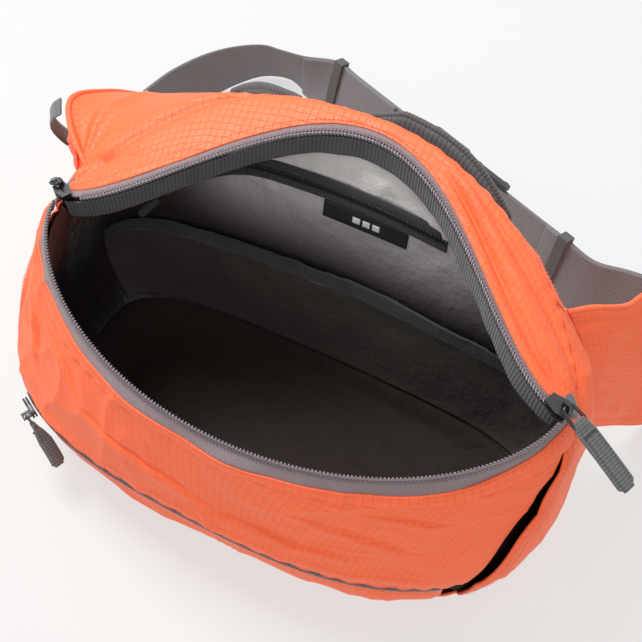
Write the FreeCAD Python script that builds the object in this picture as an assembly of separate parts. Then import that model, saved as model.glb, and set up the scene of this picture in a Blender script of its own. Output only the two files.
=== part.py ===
"""Lumbar daypack with its mouth zip open: an orange shell, a grey lining, two hip wings and a clipped belt.

Millimetres. +X is the pack's right seen from the front, -Y is the front, +Y is the wearer's side, +Z is up.
The origin is the middle of the flat base. The shell is one skin function, skin(angle, level): the angle goes
round the plan (0 right corner of the mouth, 90 back, 180 left corner, 270 front) and the level climbs from
the base, 0, to the mouth's edge, 6. Every sewn panel is a stretch of that skin with its own thickness.
"""
import FreeCAD, Part
import math
import os

os.makedirs("parts", exist_ok=True)
V = FreeCAD.Vector
UP = V(0, 0, 1)

# ---- driving dimensions ----
CENTRE_Y = -2.0            # the mouth's corners stand on this line
CLOTH = 1.6                # outer shell
LINING = 1.0
LINING_INSET = 3.5         # the lining's outer face lies this far inside the shell's outer face
SEAM_GAP = 0.03            # levels left free between neighbouring panels
BASE_THICKNESS = 2.6
TAPE_WIDTH = 11.0          # main zip tape beside its teeth
TAPE = 1.2
COIL_WIDTH = 3.6
COIL_HEIGHT = 2.8
POCKET_ZIP_LEVEL = 1.9     # the front pocket's zip runs along this level
POCKET_HALF_ANGLE = 49.0   # and spans this far each side of the front middle
POCKET_TAPE_WIDTH = 12.0
BACK_SEAM_LEVEL = 4.5      # the top panel joins the back panel here
LINING_FOOT = 0.2          # the lining starts at this level
LINING_CREST_LEVEL = 4.6   # the back lining ends here and a strip carries on over the crest
SIDE_POCKET_BOTTOM = 1.2
SIDE_POCKET_BACK_ANGLE = 36.0
WEBBING_WIDTH = 50.0
WEBBING = 2.0
PULL_WEBBING_WIDTH = 12.0
HANDLE_STANDOFF = 9.0
PAD_STANDOFF = 4.0         # the lumbar pad stands this far off the shell
PAD_THICKNESS = 14.0

# Front half, one row per level: z in the middle, extra z at the corners, half width left and right,
# depth, boxiness left and right (2 is an ellipse, more is squarer), sharpness of the corner.
FRONT_LEVELS = [
    (3.2, 0.0, 160.0, 146.0, 74.0, 3.2, 2.8, 1.0),
    (17.0, 0.0, 187.0, 168.0, 97.0, 3.1, 2.6, 1.0),
    (62.0, 0.0, 205.0, 184.0, 112.0, 2.9, 2.3, 1.0),
    (105.0, 3.0, 199.0, 186.0, 111.0, 2.5, 2.15, 1.0),
    (132.0, 9.0, 190.0, 184.0, 109.0, 2.2, 2.05, 1.03),
    (150.0, 13.0, 182.0, 181.0, 106.5, 2.05, 2.0, 1.07),
    (165.0, 17.0, 176.0, 176.0, 103.0, 2.0, 2.0, 1.1),
]
# The wearer's half: extra z in the middle and its power, depth, boxiness left and right, sharpness.
BACK_LEVELS = [
    (0.0, 1.0, 62.0, 3.2, 3.2, 1.0),
    (0.0, 1.0, 74.0, 4.0, 4.0, 1.0),
    (3.0, 1.0, 82.0, 4.8, 5.0, 1.0),
    (22.0, 1.0, 88.0, 4.4, 4.8, 1.0),
    (52.0, 1.1, 100.0, 3.2, 2.6, 1.0),
    (67.0, 1.5, 114.0, 2.7, 1.8, 1.1),
    (46.0, 3.0, 100.0, 2.0, 2.0, 4.0),
]
TOP = len(FRONT_LEVELS) - 1
PARTS = {}


# ---- the shell's skin ----
def unit(v):
    return v * (1.0 / v.Length)


def node_point(angle, level):
    """The shell's point at a whole-numbered level."""
    c, s = math.cos(math.radians(angle)), math.sin(math.radians(angle))
    z, rise, half_left, half_right, depth, boxy_left, boxy_right, sharp = FRONT_LEVELS[level]
    height = z + rise * c * c
    if s > 0:
        rise_back, power, depth, boxy_left, boxy_right, sharp = BACK_LEVELS[level]
        height = z + rise + rise_back * s ** power
    half, boxy = (half_right, boxy_right) if c >= 0 else (half_left, boxy_left)
    reach = (abs(c) ** boxy + abs(s) ** boxy) ** (-1.0 / boxy)
    side = 1.0 if s > 0 else -1.0
    return V(half * reach * c, CENTRE_Y + side * depth * reach * abs(s) ** sharp, height)


def skin(angle, level):
    """The shell's outer surface: a centripetal spline through the whole levels."""
    i = min(int(level), TOP - 1)
    p = [node_point(angle, k) for k in (max(0, i - 1), i, i + 1, min(TOP, i + 2))]
    gap = [max(p[k].distanceToPoint(p[k + 1]), 1e-3) ** 0.5 for k in range(3)]
    chord = p[2] - p[1]
    start, end = chord, chord
    if i > 0:
        across = (p[2] - p[0]) * (1 / (gap[0] + gap[1]))
        start = ((p[1] - p[0]) * (1 / gap[0]) - across + chord * (1 / gap[1])) * gap[1]
    if i < TOP - 1:
        across = (p[3] - p[1]) * (1 / (gap[1] + gap[2]))
        end = (chord * (1 / gap[1]) - across + (p[3] - p[2]) * (1 / gap[2])) * gap[1]
    t = level - i
    a, b = t * t * (3 - 2 * t), t * (1 - t)
    return p[1] * (1 - a) + p[2] * a + start * (b * (1 - t)) - end * (b * t)


def outward(angle, level):
    """The shell's unit normal, away from the inside."""
    around = skin(angle + 0.4, level) - skin(angle - 0.4, level)
    climb = skin(angle, min(TOP, level + 0.02)) - skin(angle, max(0, level - 0.02))
    return unit(around.cross(climb))


def off(angle, level, distance):
    """A point that far outside the shell, or inside it where the distance is negative."""
    return skin(angle, level) + outward(angle, level) * distance


def level_at(angle, start, distance):
    """The level a distance up the skin from another one, or down it where the distance is negative."""
    step = 0.01 if distance > 0 else -0.01
    level, length, last = start, 0.0, skin(angle, start)
    while length < abs(distance):
        level += step
        here = skin(angle, level)
        length += here.distanceToPoint(last)
        last = here
    return level


def below_mouth(distance):
    """A function of the angle: the level that far below the mouth's edge."""
    return lambda angle: level_at(angle, float(TOP), -distance)


# ---- solid builders ----
def slab(outer, inner, nu, nv):
    """A closed solid between two surfaces, each given as a function of (0..1, 0..1)."""
    faces, rims = [], []
    for side in (outer, inner):
        fitted = Part.BSplineSurface()
        fitted.interpolate([[side(i / (nu - 1), j / (nv - 1)) for j in range(nv)] for i in range(nu)])
        faces.append(fitted.toShape())
        u0, u1, v0, v1 = fitted.bounds()
        rims.append([fitted.uIso(u0), fitted.uIso(u1), fitted.vIso(v0), fitted.vIso(v1)])
    for a, b in zip(*rims):
        faces.append(Part.makeRuledSurface(a.toShape(), b.toShape(), 1))
    sewn = Part.makeCompound(faces)
    sewn.sewShape()
    solid = Part.makeSolid(sewn.Shells[0])
    if solid.Volume < 0:
        solid.reverse()
    return solid


def panel(a0, a1, low, high, outside, thickness, nu=13, nv=6):
    """A stretch of the shell from angle a0 to a1. low and high are levels or functions of the angle."""
    low_at = low if callable(low) else (lambda angle: low)
    high_at = high if callable(high) else (lambda angle: high)

    def at(distance):
        def point(u, w):
            angle = a0 + (a1 - a0) * u
            start, end = low_at(angle), high_at(angle)
            return off(angle, start + (end - start) * w, distance)
        return point
    return slab(at(outside), at(outside - thickness), nu, nv)


def skin_strip(a0, a1, level, width, outside, thickness, nu=17):
    """A narrow tape along a level, centred on it, standing on the shell."""
    level_at = level if callable(level) else (lambda angle: level)

    def at(distance):
        def point(u, w):
            angle = a0 + (a1 - a0) * u
            middle = level_at(angle)
            climb = unit(skin(angle, min(TOP, middle + 0.05)) - skin(angle, middle - 0.05))
            return off(angle, middle, distance) + climb * ((w - 0.5) * width)
        return point
    return slab(at(outside + thickness), at(outside), nu, 3)


def path_curve(points):
    """A function of 0..1 along a smooth curve through the points."""
    curve = Part.BSplineCurve()
    curve.interpolate([V(*p) for p in points])
    first, last = curve.FirstParameter, curve.LastParameter
    return lambda t: curve.value(first + (last - first) * t)


def ribbon(lower, upper, thickness, n, t0=0.0, t1=1.0, offset=0.0, cut=0.0):
    """A flat band between a lower and an upper edge curve; offset moves it along its own face's normal."""
    def at(distance):
        def point(u, w):
            t = t0 + (t1 - t0) * u
            a, b = lower(t), upper(t)
            ahead = (lower(min(1, t + 0.01)) + upper(min(1, t + 0.01))) * 0.5
            behind = (lower(max(0, t - 0.01)) + upper(max(0, t - 0.01))) * 0.5
            normal = unit((ahead - behind).cross(b - a))
            trim = unit(b - a) * cut
            return a + trim + (b - a - trim * 2) * w + normal * (offset + distance)
        return point
    return slab(at(-thickness / 2), at(thickness / 2), n, 3)


def box(x, y, z, centre=V(0, 0, 0)):
    return Part.makeBox(x, y, z, centre - V(x / 2, y / 2, z / 2))


def rounded_box(x, y, z, radius, centre=V(0, 0, 0)):
    """A box whose four edges along Z are rounded."""
    made = box(x, y, z, centre)
    upright = [e for e in made.Edges if abs(e.tangentAt(e.FirstParameter).z) > 0.99]
    return made.makeFillet(radius, upright)


def placed(shape, origin, along, upward):
    """Moves a shape made at the origin so that its +X lies along `along` and its +Z near `upward`."""
    x = unit(along)
    y = unit(upward.cross(x))
    z = x.cross(y)
    columns = (x.x, y.x, z.x, origin.x, x.y, y.y, z.y, origin.y, x.z, y.z, z.z, origin.z, 0, 0, 0, 1)
    moved = shape.copy()
    moved.Placement = FreeCAD.Placement(FreeCAD.Matrix(*columns)).multiply(moved.Placement)
    return moved


def keep(name, *shapes):
    solids = [s for shape in shapes for s in shape.Solids]
    PARTS[name] = solids[0] if len(solids) == 1 else Part.makeCompound(solids)


def plan_plate(level, inset, z0, z1):
    """A flat plate whose outline follows the shell at a level."""
    points = []
    for k in range(60):
        p = off(k * 6.0, level, -inset)
        points.append(V(p.x, p.y, z0))
    curve = Part.BSplineCurve()
    curve.interpolate(points, PeriodicFlag=True)
    return Part.Face(Part.Wire([curve.toShape()])).extrude(V(0, 0, z1 - z0))


# ---- the orange shell ----
# The side pocket's hem as rows of level and angle, and the degrees between it and the body's cloth.
HEM = [(1.2, 325.0), (2.0, 327.0), (3.0, 336.0), (4.0, 346.0), (5.3, 358.0)]
SLIT_WIDTH = [(1.2, 0.0), (2.0, 9.0), (3.0, 9.0), (4.0, 8.0), (5.3, 1.0)]
HEM_FLARE = 5.5        # the side pocket's hem stands this far off the body
SIDE_WALL_SINK = 4.5   # and the body's side is pushed in this far under it
SIDE_TOP_LEVEL = 4.9
SIDE_WALL_TOP = 4.4
LINING_SIDE_SINK = 7.5 # the lining stands in this far at the sides, clear of the side walls
FRONT_TOP_LEVEL = 4.93
MOUTH_BAND_LEVEL = 4.96


def table(rows, x):
    """Linear interpolation in a table of (x, value) rows."""
    if x <= rows[0][0]:
        return rows[0][1]
    for (x0, y0), (x1, y1) in zip(rows, rows[1:]):
        if x <= x1:
            return y0 + (y1 - y0) * (x - x0) / (x1 - x0)
    return rows[-1][1]


def turned(angle, right):
    """An angle given for the right side, or its mirror image on the left."""
    return angle if right else 540.0 - angle


def side_pocket(right):
    """The outer cloth of a hip-side pocket, loose along its curved front hem."""
    def at(depth):
        def point(u, w):
            level = SIDE_POCKET_BOTTOM + (SIDE_TOP_LEVEL - SIDE_POCKET_BOTTOM) * w
            hem = table(HEM, level)
            angle = hem + (360.0 + SIDE_POCKET_BACK_ANGLE - hem) * u
            lift = HEM_FLARE * (1 - u) * math.sin(math.pi * w) ** 0.5
            return off(turned(angle, right), level, lift - depth)
        return point
    return slab(at(0.0), at(CLOTH), 11, 9)


def side_wall(right):
    """The body's own side, under the side pocket."""
    def at(depth):
        def point(u, w):
            level = SIDE_POCKET_BOTTOM + (SIDE_WALL_TOP - SIDE_POCKET_BOTTOM) * w
            start = table(HEM, level) - table(SLIT_WIDTH, level) + 0.5
            angle = start + (360.0 + SIDE_POCKET_BACK_ANGLE - start) * u
            sink = SIDE_WALL_SINK * (math.sin(math.pi * u) * math.sin(math.pi * w)) ** 0.5
            return off(turned(angle, right), level, -CLOTH - 0.4 - sink - depth)
        return point
    return slab(at(0.0), at(LINING), 13, 9)


def front_panel():
    """The front of the shell, from the pocket's zip up to the band below the main zip."""
    def at(depth):
        def point(u, w):
            level = pocket_edge + (FRONT_TOP_LEVEL - pocket_edge) * w
            edge = table(HEM, level) - table(SLIT_WIDTH, level)
            left = turned(edge, False)
            return off(left + (edge - left) * u, level, -depth)
        return point
    pocket_edge = level_at(270.0, POCKET_ZIP_LEVEL, POCKET_TAPE_WIDTH / 2 + 0.4)
    return slab(at(0.0), at(CLOTH), 17, 9)


def zip_coil(a0, a1):
    """The row of teeth along the mouth's edge, as one rib."""
    def at(distance):
        def point(u, w):
            angle = a0 + (a1 - a0) * u
            climb = unit(skin(angle, TOP) - skin(angle, TOP - 0.05))
            return off(angle, TOP, distance) + climb * (0.2 + COIL_WIDTH * w)
        return point
    return slab(at(COIL_HEIGHT / 2 - TAPE / 2), at(-COIL_HEIGHT / 2 - TAPE / 2), 33, 3)


def lumbar_pad():
    """A rounded pad on the back panel, standing off it and cut low at its left, beside the grab handle."""
    def at(distance):
        def point(u, w):
            corner = abs(2 * u - 1) ** 4
            low = 1.5 + 0.5 * corner
            high = 4.85 - 0.75 * corner - 1.6 * max(0.0, u - 0.5)
            return off(62.0 + 56.0 * u, low + (high - low) * w, distance)
        return point
    return slab(at(PAD_STANDOFF + PAD_THICKNESS), at(PAD_STANDOFF), 15, 9)


def lining_depth(angle, share):
    """How far inside the shell the lining's outer face is; share runs from the lining's foot to its top."""
    sideways = abs(math.cos(math.radians(angle)))
    return LINING_INSET + LINING_SIDE_SINK * sideways * math.sin(math.pi * share) ** 0.5


def lining(a0, a1, top_at):
    """Half of the lining, standing further in at the sides, behind the sunken side walls."""
    def at(depth):
        def point(u, w):
            angle = a0 + (a1 - a0) * u
            level = LINING_FOOT + (top_at(angle) - LINING_FOOT) * w
            return off(angle, level, -lining_depth(angle, w) - depth)
        return point
    return slab(at(0.0), at(LINING), 25, 12)


def mouth_binding():
    """Ribbed tape over the seam allowance, hanging inside the back lip from below the main zip's teeth."""
    def edge(drop, inward):
        def point(t):
            angle = 15.0 + 150.0 * t
            climb = unit(skin(angle, TOP) - skin(angle, TOP - 0.05))
            away = outward(angle, 3.0)
            return off(angle, TOP, -3.4) + climb * 3.0 - V(away.x, away.y, 0) * inward - UP * drop
        return point
    return ribbon(edge(15.0, 2.5), edge(2.0, 0.0), 1.2, 33)


# The outer cloth, from the floor up.
lower_band_top = SIDE_POCKET_BOTTOM - SEAM_GAP
pocket_side = 270.0 - POCKET_HALF_ANGLE
pocket_top = level_at(270.0, POCKET_ZIP_LEVEL, -POCKET_TAPE_WIDTH / 2 - 0.4)
back_left = 180.0 - SIDE_POCKET_BACK_ANGLE - 1.2
back_right = SIDE_POCKET_BACK_ANGLE + 1.2
back_seam = BACK_SEAM_LEVEL - SEAM_GAP
mouth_seam = below_mouth(TAPE_WIDTH + 0.4)
lining_seam = below_mouth(TAPE_WIDTH + 1.5)

keep("base_panel", plan_plate(0.0, 0.0, 0.0, BASE_THICKNESS))
keep("lower_band_right", panel(271.0 + POCKET_HALF_ANGLE, 449.8, 0.0, lower_band_top, 0.0, CLOTH, 15, 4))
keep("lower_band_left", panel(90.2, 269.0 - POCKET_HALF_ANGLE, 0.0, lower_band_top, 0.0, CLOTH, 15, 4))
keep("front_pocket_panel", panel(pocket_side, 540.0 - pocket_side, 0.0, pocket_top, 0.0, CLOTH, 15, 6))
keep("front_panel", front_panel())
keep("front_mouth_band", panel(181.0, 359.0, MOUTH_BAND_LEVEL, mouth_seam, 0.0, CLOTH, 21, 4))
keep("side_pocket_right", side_pocket(True))
keep("side_pocket_left", side_pocket(False))
keep("side_wall_right", side_wall(True))
keep("side_wall_left", side_wall(False))
keep("back_panel", panel(back_right, back_left, SIDE_POCKET_BOTTOM, back_seam, 0.0, CLOTH, 13, 8))
keep("top_panel", panel(1.0, 179.0, MOUTH_BAND_LEVEL, mouth_seam, 0.0, CLOTH, 25, 5))
keep("back_yoke", panel(back_right, back_left, BACK_SEAM_LEVEL, SIDE_TOP_LEVEL + 0.03, 0.0, CLOTH, 15, 4))

# The main zip, open all the way, and the grey patches over its two ends.
keep("zip_tape_front", panel(181.0, 359.0, below_mouth(TAPE_WIDTH), float(TOP), 0.0, TAPE, 25, 4))
keep("zip_tape_back", panel(1.0, 179.0, below_mouth(TAPE_WIDTH), float(TOP), 0.0, TAPE, 33, 4))
keep("zip_teeth_front", zip_coil(189.0, 351.0))
keep("zip_teeth_back", zip_coil(26.0, 154.0))
patch_low, patch_high = below_mouth(TAPE_WIDTH + 7.0), below_mouth(1.0)
for side, first, last in (("right", 3.0, 16.0), ("left", 164.0, 177.0)):
    keep(f"zip_end_patch_{side}", panel(first, last, patch_low, patch_high, 1.7, 1.2, 7, 5))

# The front pocket's zip.
pocket_zip_ends = (pocket_side + 0.5, 539.5 - pocket_side)
keep("pocket_zip_tape", skin_strip(*pocket_zip_ends, POCKET_ZIP_LEVEL, POCKET_TAPE_WIDTH, -CLOTH, TAPE))
keep("pocket_zip_teeth", skin_strip(*pocket_zip_ends, POCKET_ZIP_LEVEL, 4.4, 0.0, 1.8, 25))

# The grey lining and what is sewn to it.
keep("lining_base", plan_plate(0.0, 4.6, 3.4, 4.4))
keep("lining_front", lining(181.5, 358.5, lining_seam))
keep("lining_back", lining(1.5, 178.5, lambda angle: LINING_CREST_LEVEL - 0.03))
keep("lining_crest", panel(4.0, 176.0, LINING_CREST_LEVEL, lining_seam, -CLOTH - 0.8, LINING, 33, 5))
keep("mouth_binding", mouth_binding())
keep("back_seam_binding", skin_strip(62.0, 100.0, 4.42, 9.0, -7.8, 1.4, 9))


def slip_pocket(low, high, standoff_low, standoff_high, thickness):
    """The slip pocket's loose face on the back lining, between two levels. Its top sags at the ends."""
    def at(depth):
        def point(u, w):
            angle = 31.0 + 118.0 * u
            level = low + (high - low) * w
            level -= 0.22 * (1 - math.sin(math.pi * u)) * min(1.0, level - 0.9)
            bow = math.sin(math.pi * u) ** 0.5
            standoff = standoff_low + (standoff_high - standoff_low) * w
            share = (level - LINING_FOOT) / (LINING_CREST_LEVEL - LINING_FOOT)
            return off(angle, level, -lining_depth(angle, share) - LINING - 0.6 - standoff * bow - depth)
        return point
    return slab(at(0.0), at(thickness), 15, 5)


keep("slip_pocket", slip_pocket(0.9, 2.75, 1.0, 7.0, 1.0))
keep("slip_pocket_binding", slip_pocket(2.765, 2.95, 7.0, 7.4, 1.6))
keep("label", panel(79.5, 98.0, 3.37, 3.58, -LINING_INSET - LINING - 2.2, 1.4, 7, 4))

# ---- sliders and pulls ----
BAIL_HEIGHT = 5.5
BAIL_LENGTH = 5.6
BAIL_WIDTH = 1.4
BAIL_HOLE = 1.55
PIN_DEPTH = 2.0        # the ring's bar runs this far below the top of the slider


def slider(length, width, height):
    """A zip slider: two plates joined by a post, and a bail with a hole across it. +X is its front."""
    plate = 1.4
    body_height = height - BAIL_HEIGHT
    half_outline = [(-length / 2, width * 0.31), (length * 0.1, width / 2), (length / 2, width * 0.4)]
    outline = [V(x, -y, 0) for x, y in half_outline] + [V(x, y, 0) for x, y in reversed(half_outline)]
    lower = Part.Face(Part.makePolygon(outline + outline[:1])).extrude(V(0, 0, plate))
    upper = lower.copy()
    upper.translate(V(0, 0, body_height - plate))
    post = box(length * 0.2, width * 0.22, body_height, V(length * 0.36, 0, body_height / 2))
    bail_at = length / 2 - BAIL_LENGTH / 2
    bail = box(BAIL_LENGTH, BAIL_WIDTH, BAIL_HEIGHT + 1.4, V(bail_at, 0, body_height + BAIL_HEIGHT / 2))
    hole = Part.makeCylinder(BAIL_HOLE, 4.0, V(bail_at, 2.0, height - PIN_DEPTH), V(0, -1, 0))
    return lower.fuse([upper, post, bail]).cut(hole)


def pull_ring(length, width, wire):
    """A flat ring with one round bar along Y at the origin, reaching out along +X."""
    bar = Part.makeCylinder(wire * 0.44, width - 1.0, V(0, 0.5 - width / 2, 0), V(0, 1, 0))
    plate = rounded_box(length, width, wire, 1.2, V(length / 2, 0, 0))
    plate = plate.cut(box(length - wire, width - 2 * wire, wire * 2, V((length - wire) / 2, 0, 0)))
    plate = plate.cut(box(wire, width - 2 * wire, wire * 2, V(0, 0, 0)))
    return bar.fuse(plate).removeSplitter()


def tab(x0, x1, width, thickness, z=0.0):
    return rounded_box(x1 - x0, width, thickness, 1.5, V((x0 + x1) / 2, 0, z))


def at_frame(origin, along, upward, *shapes):
    return [placed(shape, origin, along, upward) for shape in shapes]


def slider_and_pull(name, origin, along, upward, size, pull_along, pull_up, ring, tab_size):
    """One slider and the pull that swings in its bail."""
    length, width, height = size
    keep(f"{name}_slider", *at_frame(origin, along, upward, slider(length, width, height)))
    x = unit(along)
    z = x.cross(unit(upward.cross(x)))
    pin = origin + z * (height - PIN_DEPTH) + x * (length / 2 - BAIL_LENGTH / 2)
    ring_length, ring_width, wire = ring
    tab_length, tab_width, tab_thick = tab_size
    keep(f"{name}_pull_ring", *at_frame(pin, pull_along, pull_up, pull_ring(ring_length, ring_width, wire)))
    end = ring_length - wire - 0.3
    slack = 0.6
    grip = box(ring_length + slack, ring_width + slack, wire + slack, V(ring_length / 2, 0, 0))
    hole_length = ring_length - 2 * wire - slack
    grip = grip.cut(box(hole_length, ring_width - 2 * wire - slack, wire * 3, V(ring_length / 2, 0, 0)))
    loop = tab(end - 3.2, end + tab_length, tab_width, tab_thick).cut(grip)
    keep(f"{name}_pull_tab", *at_frame(pin, pull_along, pull_up, loop))


PULL_TAB_WIDTH = PULL_WEBBING_WIDTH - 3.0     # the folded webbing narrows where the ring grips it
slider_and_pull("main_right", V(169.5, -2.5, 184.4), V(0.944, -0.33, 0), UP, (15.0, 12.0, 10.5),
                V(0.86, -0.3, -0.41), V(0.387, -0.135, 0.912), (15.0, 11.0, 2.0), (46.0, PULL_TAB_WIDTH, 3.6))
slider_and_pull("main_left", V(-172.0, -2.5, 184.2), V(-0.9, 0.43, 0), UP, (12.0, 10.0, 9.5),
                V(-0.75, 0.36, -0.55), V(-0.49, 0.235, 0.83), (10.4, 7.0, 1.8), (3.2, 4.0, 3.4))

pocket_slider_angle = 270.0 - POCKET_HALF_ANGLE + 4.0
pocket_on = off(pocket_slider_angle, POCKET_ZIP_LEVEL, 2.3)
pocket_out = outward(pocket_slider_angle, POCKET_ZIP_LEVEL)
pocket_ahead = skin(pocket_slider_angle + 3.0, POCKET_ZIP_LEVEL)
pocket_along = unit(pocket_ahead - skin(pocket_slider_angle - 3.0, POCKET_ZIP_LEVEL))
slider_and_pull("pocket", pocket_on, pocket_along, pocket_out, (14.0, 10.0, 9.0),
                V(0.8, -0.2, -0.56), pocket_out, (10.0, 9.0, 1.4), (34.0, PULL_TAB_WIDTH, 3.2))

# ---- hip wings ----


ROOT_STANDOFF = 7.5


def padded(lower_rows, upper_rows, root_low, root_high, edge, middle, n=11):
    """A quilted wing between two edge curves. Its first row follows the shell between its root corners."""
    lower, upper = path_curve(lower_rows), path_curve(upper_rows)

    def at(side):
        def point(u, w):
            a, b = lower(u), upper(u)
            ahead = (lower(min(1, u + 0.01)) + upper(min(1, u + 0.01))) * 0.5
            behind = (lower(max(0, u - 0.01)) + upper(max(0, u - 0.01))) * 0.5
            normal = unit((ahead - behind).cross(b - a))
            swell = (math.sin(math.pi * w) * math.sin(math.pi * min(1.0, 0.02 + u * 0.98))) ** 0.5
            angle = root_low[0] + (root_high[0] - root_low[0]) * w
            level = root_low[1] + (root_high[1] - root_low[1]) * w
            bulge = off(angle, level, ROOT_STANDOFF) - (lower(0) + (upper(0) - lower(0)) * w)
            thick = edge + (middle - edge) * swell
            return a + (b - a) * w + bulge * (1 - u) ** 4 + normal * (side * thick / 2)
        return point
    return slab(at(-1.0), at(1.0), n, 7)


def root(angle, level):
    """A point of a wing's sewn edge, off the shell by a little more than half the wing's thickness there."""
    p = off(angle, level, ROOT_STANDOFF)
    return (p.x, p.y, p.z)


RIGHT_WING_LOWER = [root(41, 1.95), (196, 106, 26), (215, 131, 5), (250, 166, 3), (296, 190, 3)]
RIGHT_WING_UPPER = [root(44, 3.85), (176, 113, 147), (186, 141, 134), (226, 176, 104), (292, 192, 54)]
LEFT_WING_LOWER = [root(148, 2.0), (-217, 84, 34), (-229, 116, 9), (-241, 160, 3), (-250, 205, 3)]
LEFT_WING_UPPER = [root(162, 5.0), (-220, 72, 180), (-221, 112, 154), (-220, 156, 112), (-262, 205, 54)]
keep("wing_right", padded(RIGHT_WING_LOWER, RIGHT_WING_UPPER, (41, 1.95), (44, 3.85), 3.0, 13.0))
keep("wing_left", padded(LEFT_WING_LOWER, LEFT_WING_UPPER, (148, 2.0), (162, 5.0), 3.0, 11.0))

# ---- waist belt ----
# Rows of x, y, height of the lower edge, and the outward lean of the band in degrees.
STRAIGHT_SLOPE = -0.37     # the belt runs straight here: y = STRAIGHT_Y + STRAIGHT_SLOPE * x
STRAIGHT_Y = 250.0
STRAIGHT_CLEARANCE = 7.4   # lifted off the floor by the buckle, which is wider than the webbing
LEAN = 15.0


def on_straight(x):
    return (x, STRAIGHT_Y + STRAIGHT_SLOPE * x, STRAIGHT_CLEARANCE, LEAN)


LEFT_ROWS = [(-255, 207, 3.0, 14), (-252, 240, 1.5, 17), (-242, 270, 1.5, 14), (-230, 300, 1.5, 4),
             (-213, 322, 1.5, -6), (-190, 330, 1.5, -9), (-166, 317, 1.5, 2),
             on_straight(-140), on_straight(-120), on_straight(-90), on_straight(-52)]
RIGHT_ROWS = [on_straight(33), on_straight(60), on_straight(85), on_straight(105),
              (132, 202.5, 1.8, 20), (162, 203, 1.5, 26), (200, 211, 1.5, 20), (245, 228, 1.5, 10),
              (285, 241, 1.5, 3), (312, 240, 1.5, 0), (330, 225, 1.5, 0),
              (330, 204, 2.0, 0), (316, 194, 2.5, 0), (300, 191, 3.0, 2)]


def belt_edges(rows):
    """The lower and upper edge curves of a belt, from its rows."""
    lower, upper = [], []
    for i, (x, y, z, lean) in enumerate(rows):
        before, after = rows[max(0, i - 1)], rows[min(len(rows) - 1, i + 1)]
        along = unit(V(after[0] - before[0], after[1] - before[1], 0))
        out = V(-along.y, along.x, 0)
        tilt = math.radians(lean)
        foot = V(x, y, z)
        lower.append(foot)
        upper.append(foot + (UP * math.cos(tilt) + out * math.sin(tilt)) * WEBBING_WIDTH)
    return path_curve(lower), path_curve(upper)


left_lower, left_upper = belt_edges(LEFT_ROWS)
right_lower, right_upper = belt_edges(RIGHT_ROWS)
keep("belt_left", ribbon(left_lower, left_upper, WEBBING, 41))
keep("belt_right", ribbon(right_lower, right_upper, WEBBING, 41))
keep("belt_tail_left", ribbon(left_lower, left_upper, WEBBING, 15, 0.56, 0.93, WEBBING + 0.4, 0.6))
keep("belt_tail_right", ribbon(right_lower, right_upper, WEBBING, 15, 0.16, 0.42, WEBBING + 0.4, 0.6))

# The buckle's frame: X along the belt to the right, Z across the webbing, Y out of it.
buckle_x = unit(V(1.0, STRAIGHT_SLOPE, 0))
out = V(-buckle_x.y, buckle_x.x, 0)
lean = math.radians(LEAN)
buckle_z = UP * math.cos(lean) + out * math.sin(lean)


def belt_point(x, across=0.5):
    """The middle of the straight belt at an x, or another share of its width."""
    foot = V(*on_straight(x)[:3])
    return foot + buckle_z * (WEBBING_WIDTH * across)


def in_buckle(shape, x=0.0):
    return placed(shape, belt_point(x), buckle_x, buckle_z)


def buckle_female():
    body = rounded_box(40.0, 14.0, 60.0, 4.0, V(-18.0, 0, 0))
    body = body.cut(box(30.0, 8.4, 44.0, V(-4.0, 0, 0)))
    for side in (-1, 1):
        body = body.cut(box(13.0, 8.4, 12.0, V(-14.0, 0, side * 27.0)))
    rails = [box(16.0, 5.0, 3.0, V(-41.0, 0, side * 28.2)) for side in (-1, 1)]
    bar = box(3.4, 3.6, 58.0, V(-47.0, 0, 0))
    return body.fuse(rails + [bar]).removeSplitter()


def buckle_male():
    frame = box(44.0, 5.0, 60.0, V(26.0, 0, 0)).cut(box(42.0, 6.0, WEBBING_WIDTH + 2.0, V(28.0, 0, 0)))
    bars = [box(4.0, 2.4, 58.0, V(x, side * 3.4, 0)) for x, side in ((14.0, 1), (27.0, -1), (43.0, 1))]
    spine = box(23.0, 5.0, 10.0, V(-6.0, 0, 0))
    prongs = []
    for side in (-1, 1):
        prongs.append(box(26.0, 4.6, 4.0, V(-6.0, 0, side * 18.0)))
        prongs.append(box(9.0, 4.6, 4.6, V(-14.5, 0, side * 19.6)))
    return frame.fuse(bars + [spine] + prongs).removeSplitter()


loop_centre = V(-46.6, 0, 0)
webbing_loop = box(12.4, 9.0, WEBBING_WIDTH, loop_centre).cut(box(8.4, 5.0, WEBBING_WIDTH + 1, loop_centre))
keep("buckle_female", in_buckle(buckle_female()))
keep("buckle_male", in_buckle(buckle_male()))
keep("belt_end_loop", in_buckle(webbing_loop))


def keeper(x):
    """An elastic sleeve around the doubled belt."""
    sleeve = box(9.0, 9.4, WEBBING_WIDTH + 5.0).cut(box(10.0, 6.4, WEBBING_WIDTH + 2.0))
    return placed(sleeve, belt_point(x) + buckle_x.cross(buckle_z) * (WEBBING / 2 + 0.2), buckle_x, buckle_z)


keep("keeper_left", keeper(-136.0))
keep("keeper_right", keeper(104.0))

# ---- small things on the back ----
keep("lumbar_pad", lumbar_pad())


def strip_arch(points, width_vector, thickness, n=15):
    """A webbing arch along points, its width along a fixed vector."""
    middle = path_curve(points)
    half = width_vector * 0.5
    return ribbon(lambda t: middle(t) - half, lambda t: middle(t) + half, thickness, n)


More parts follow.
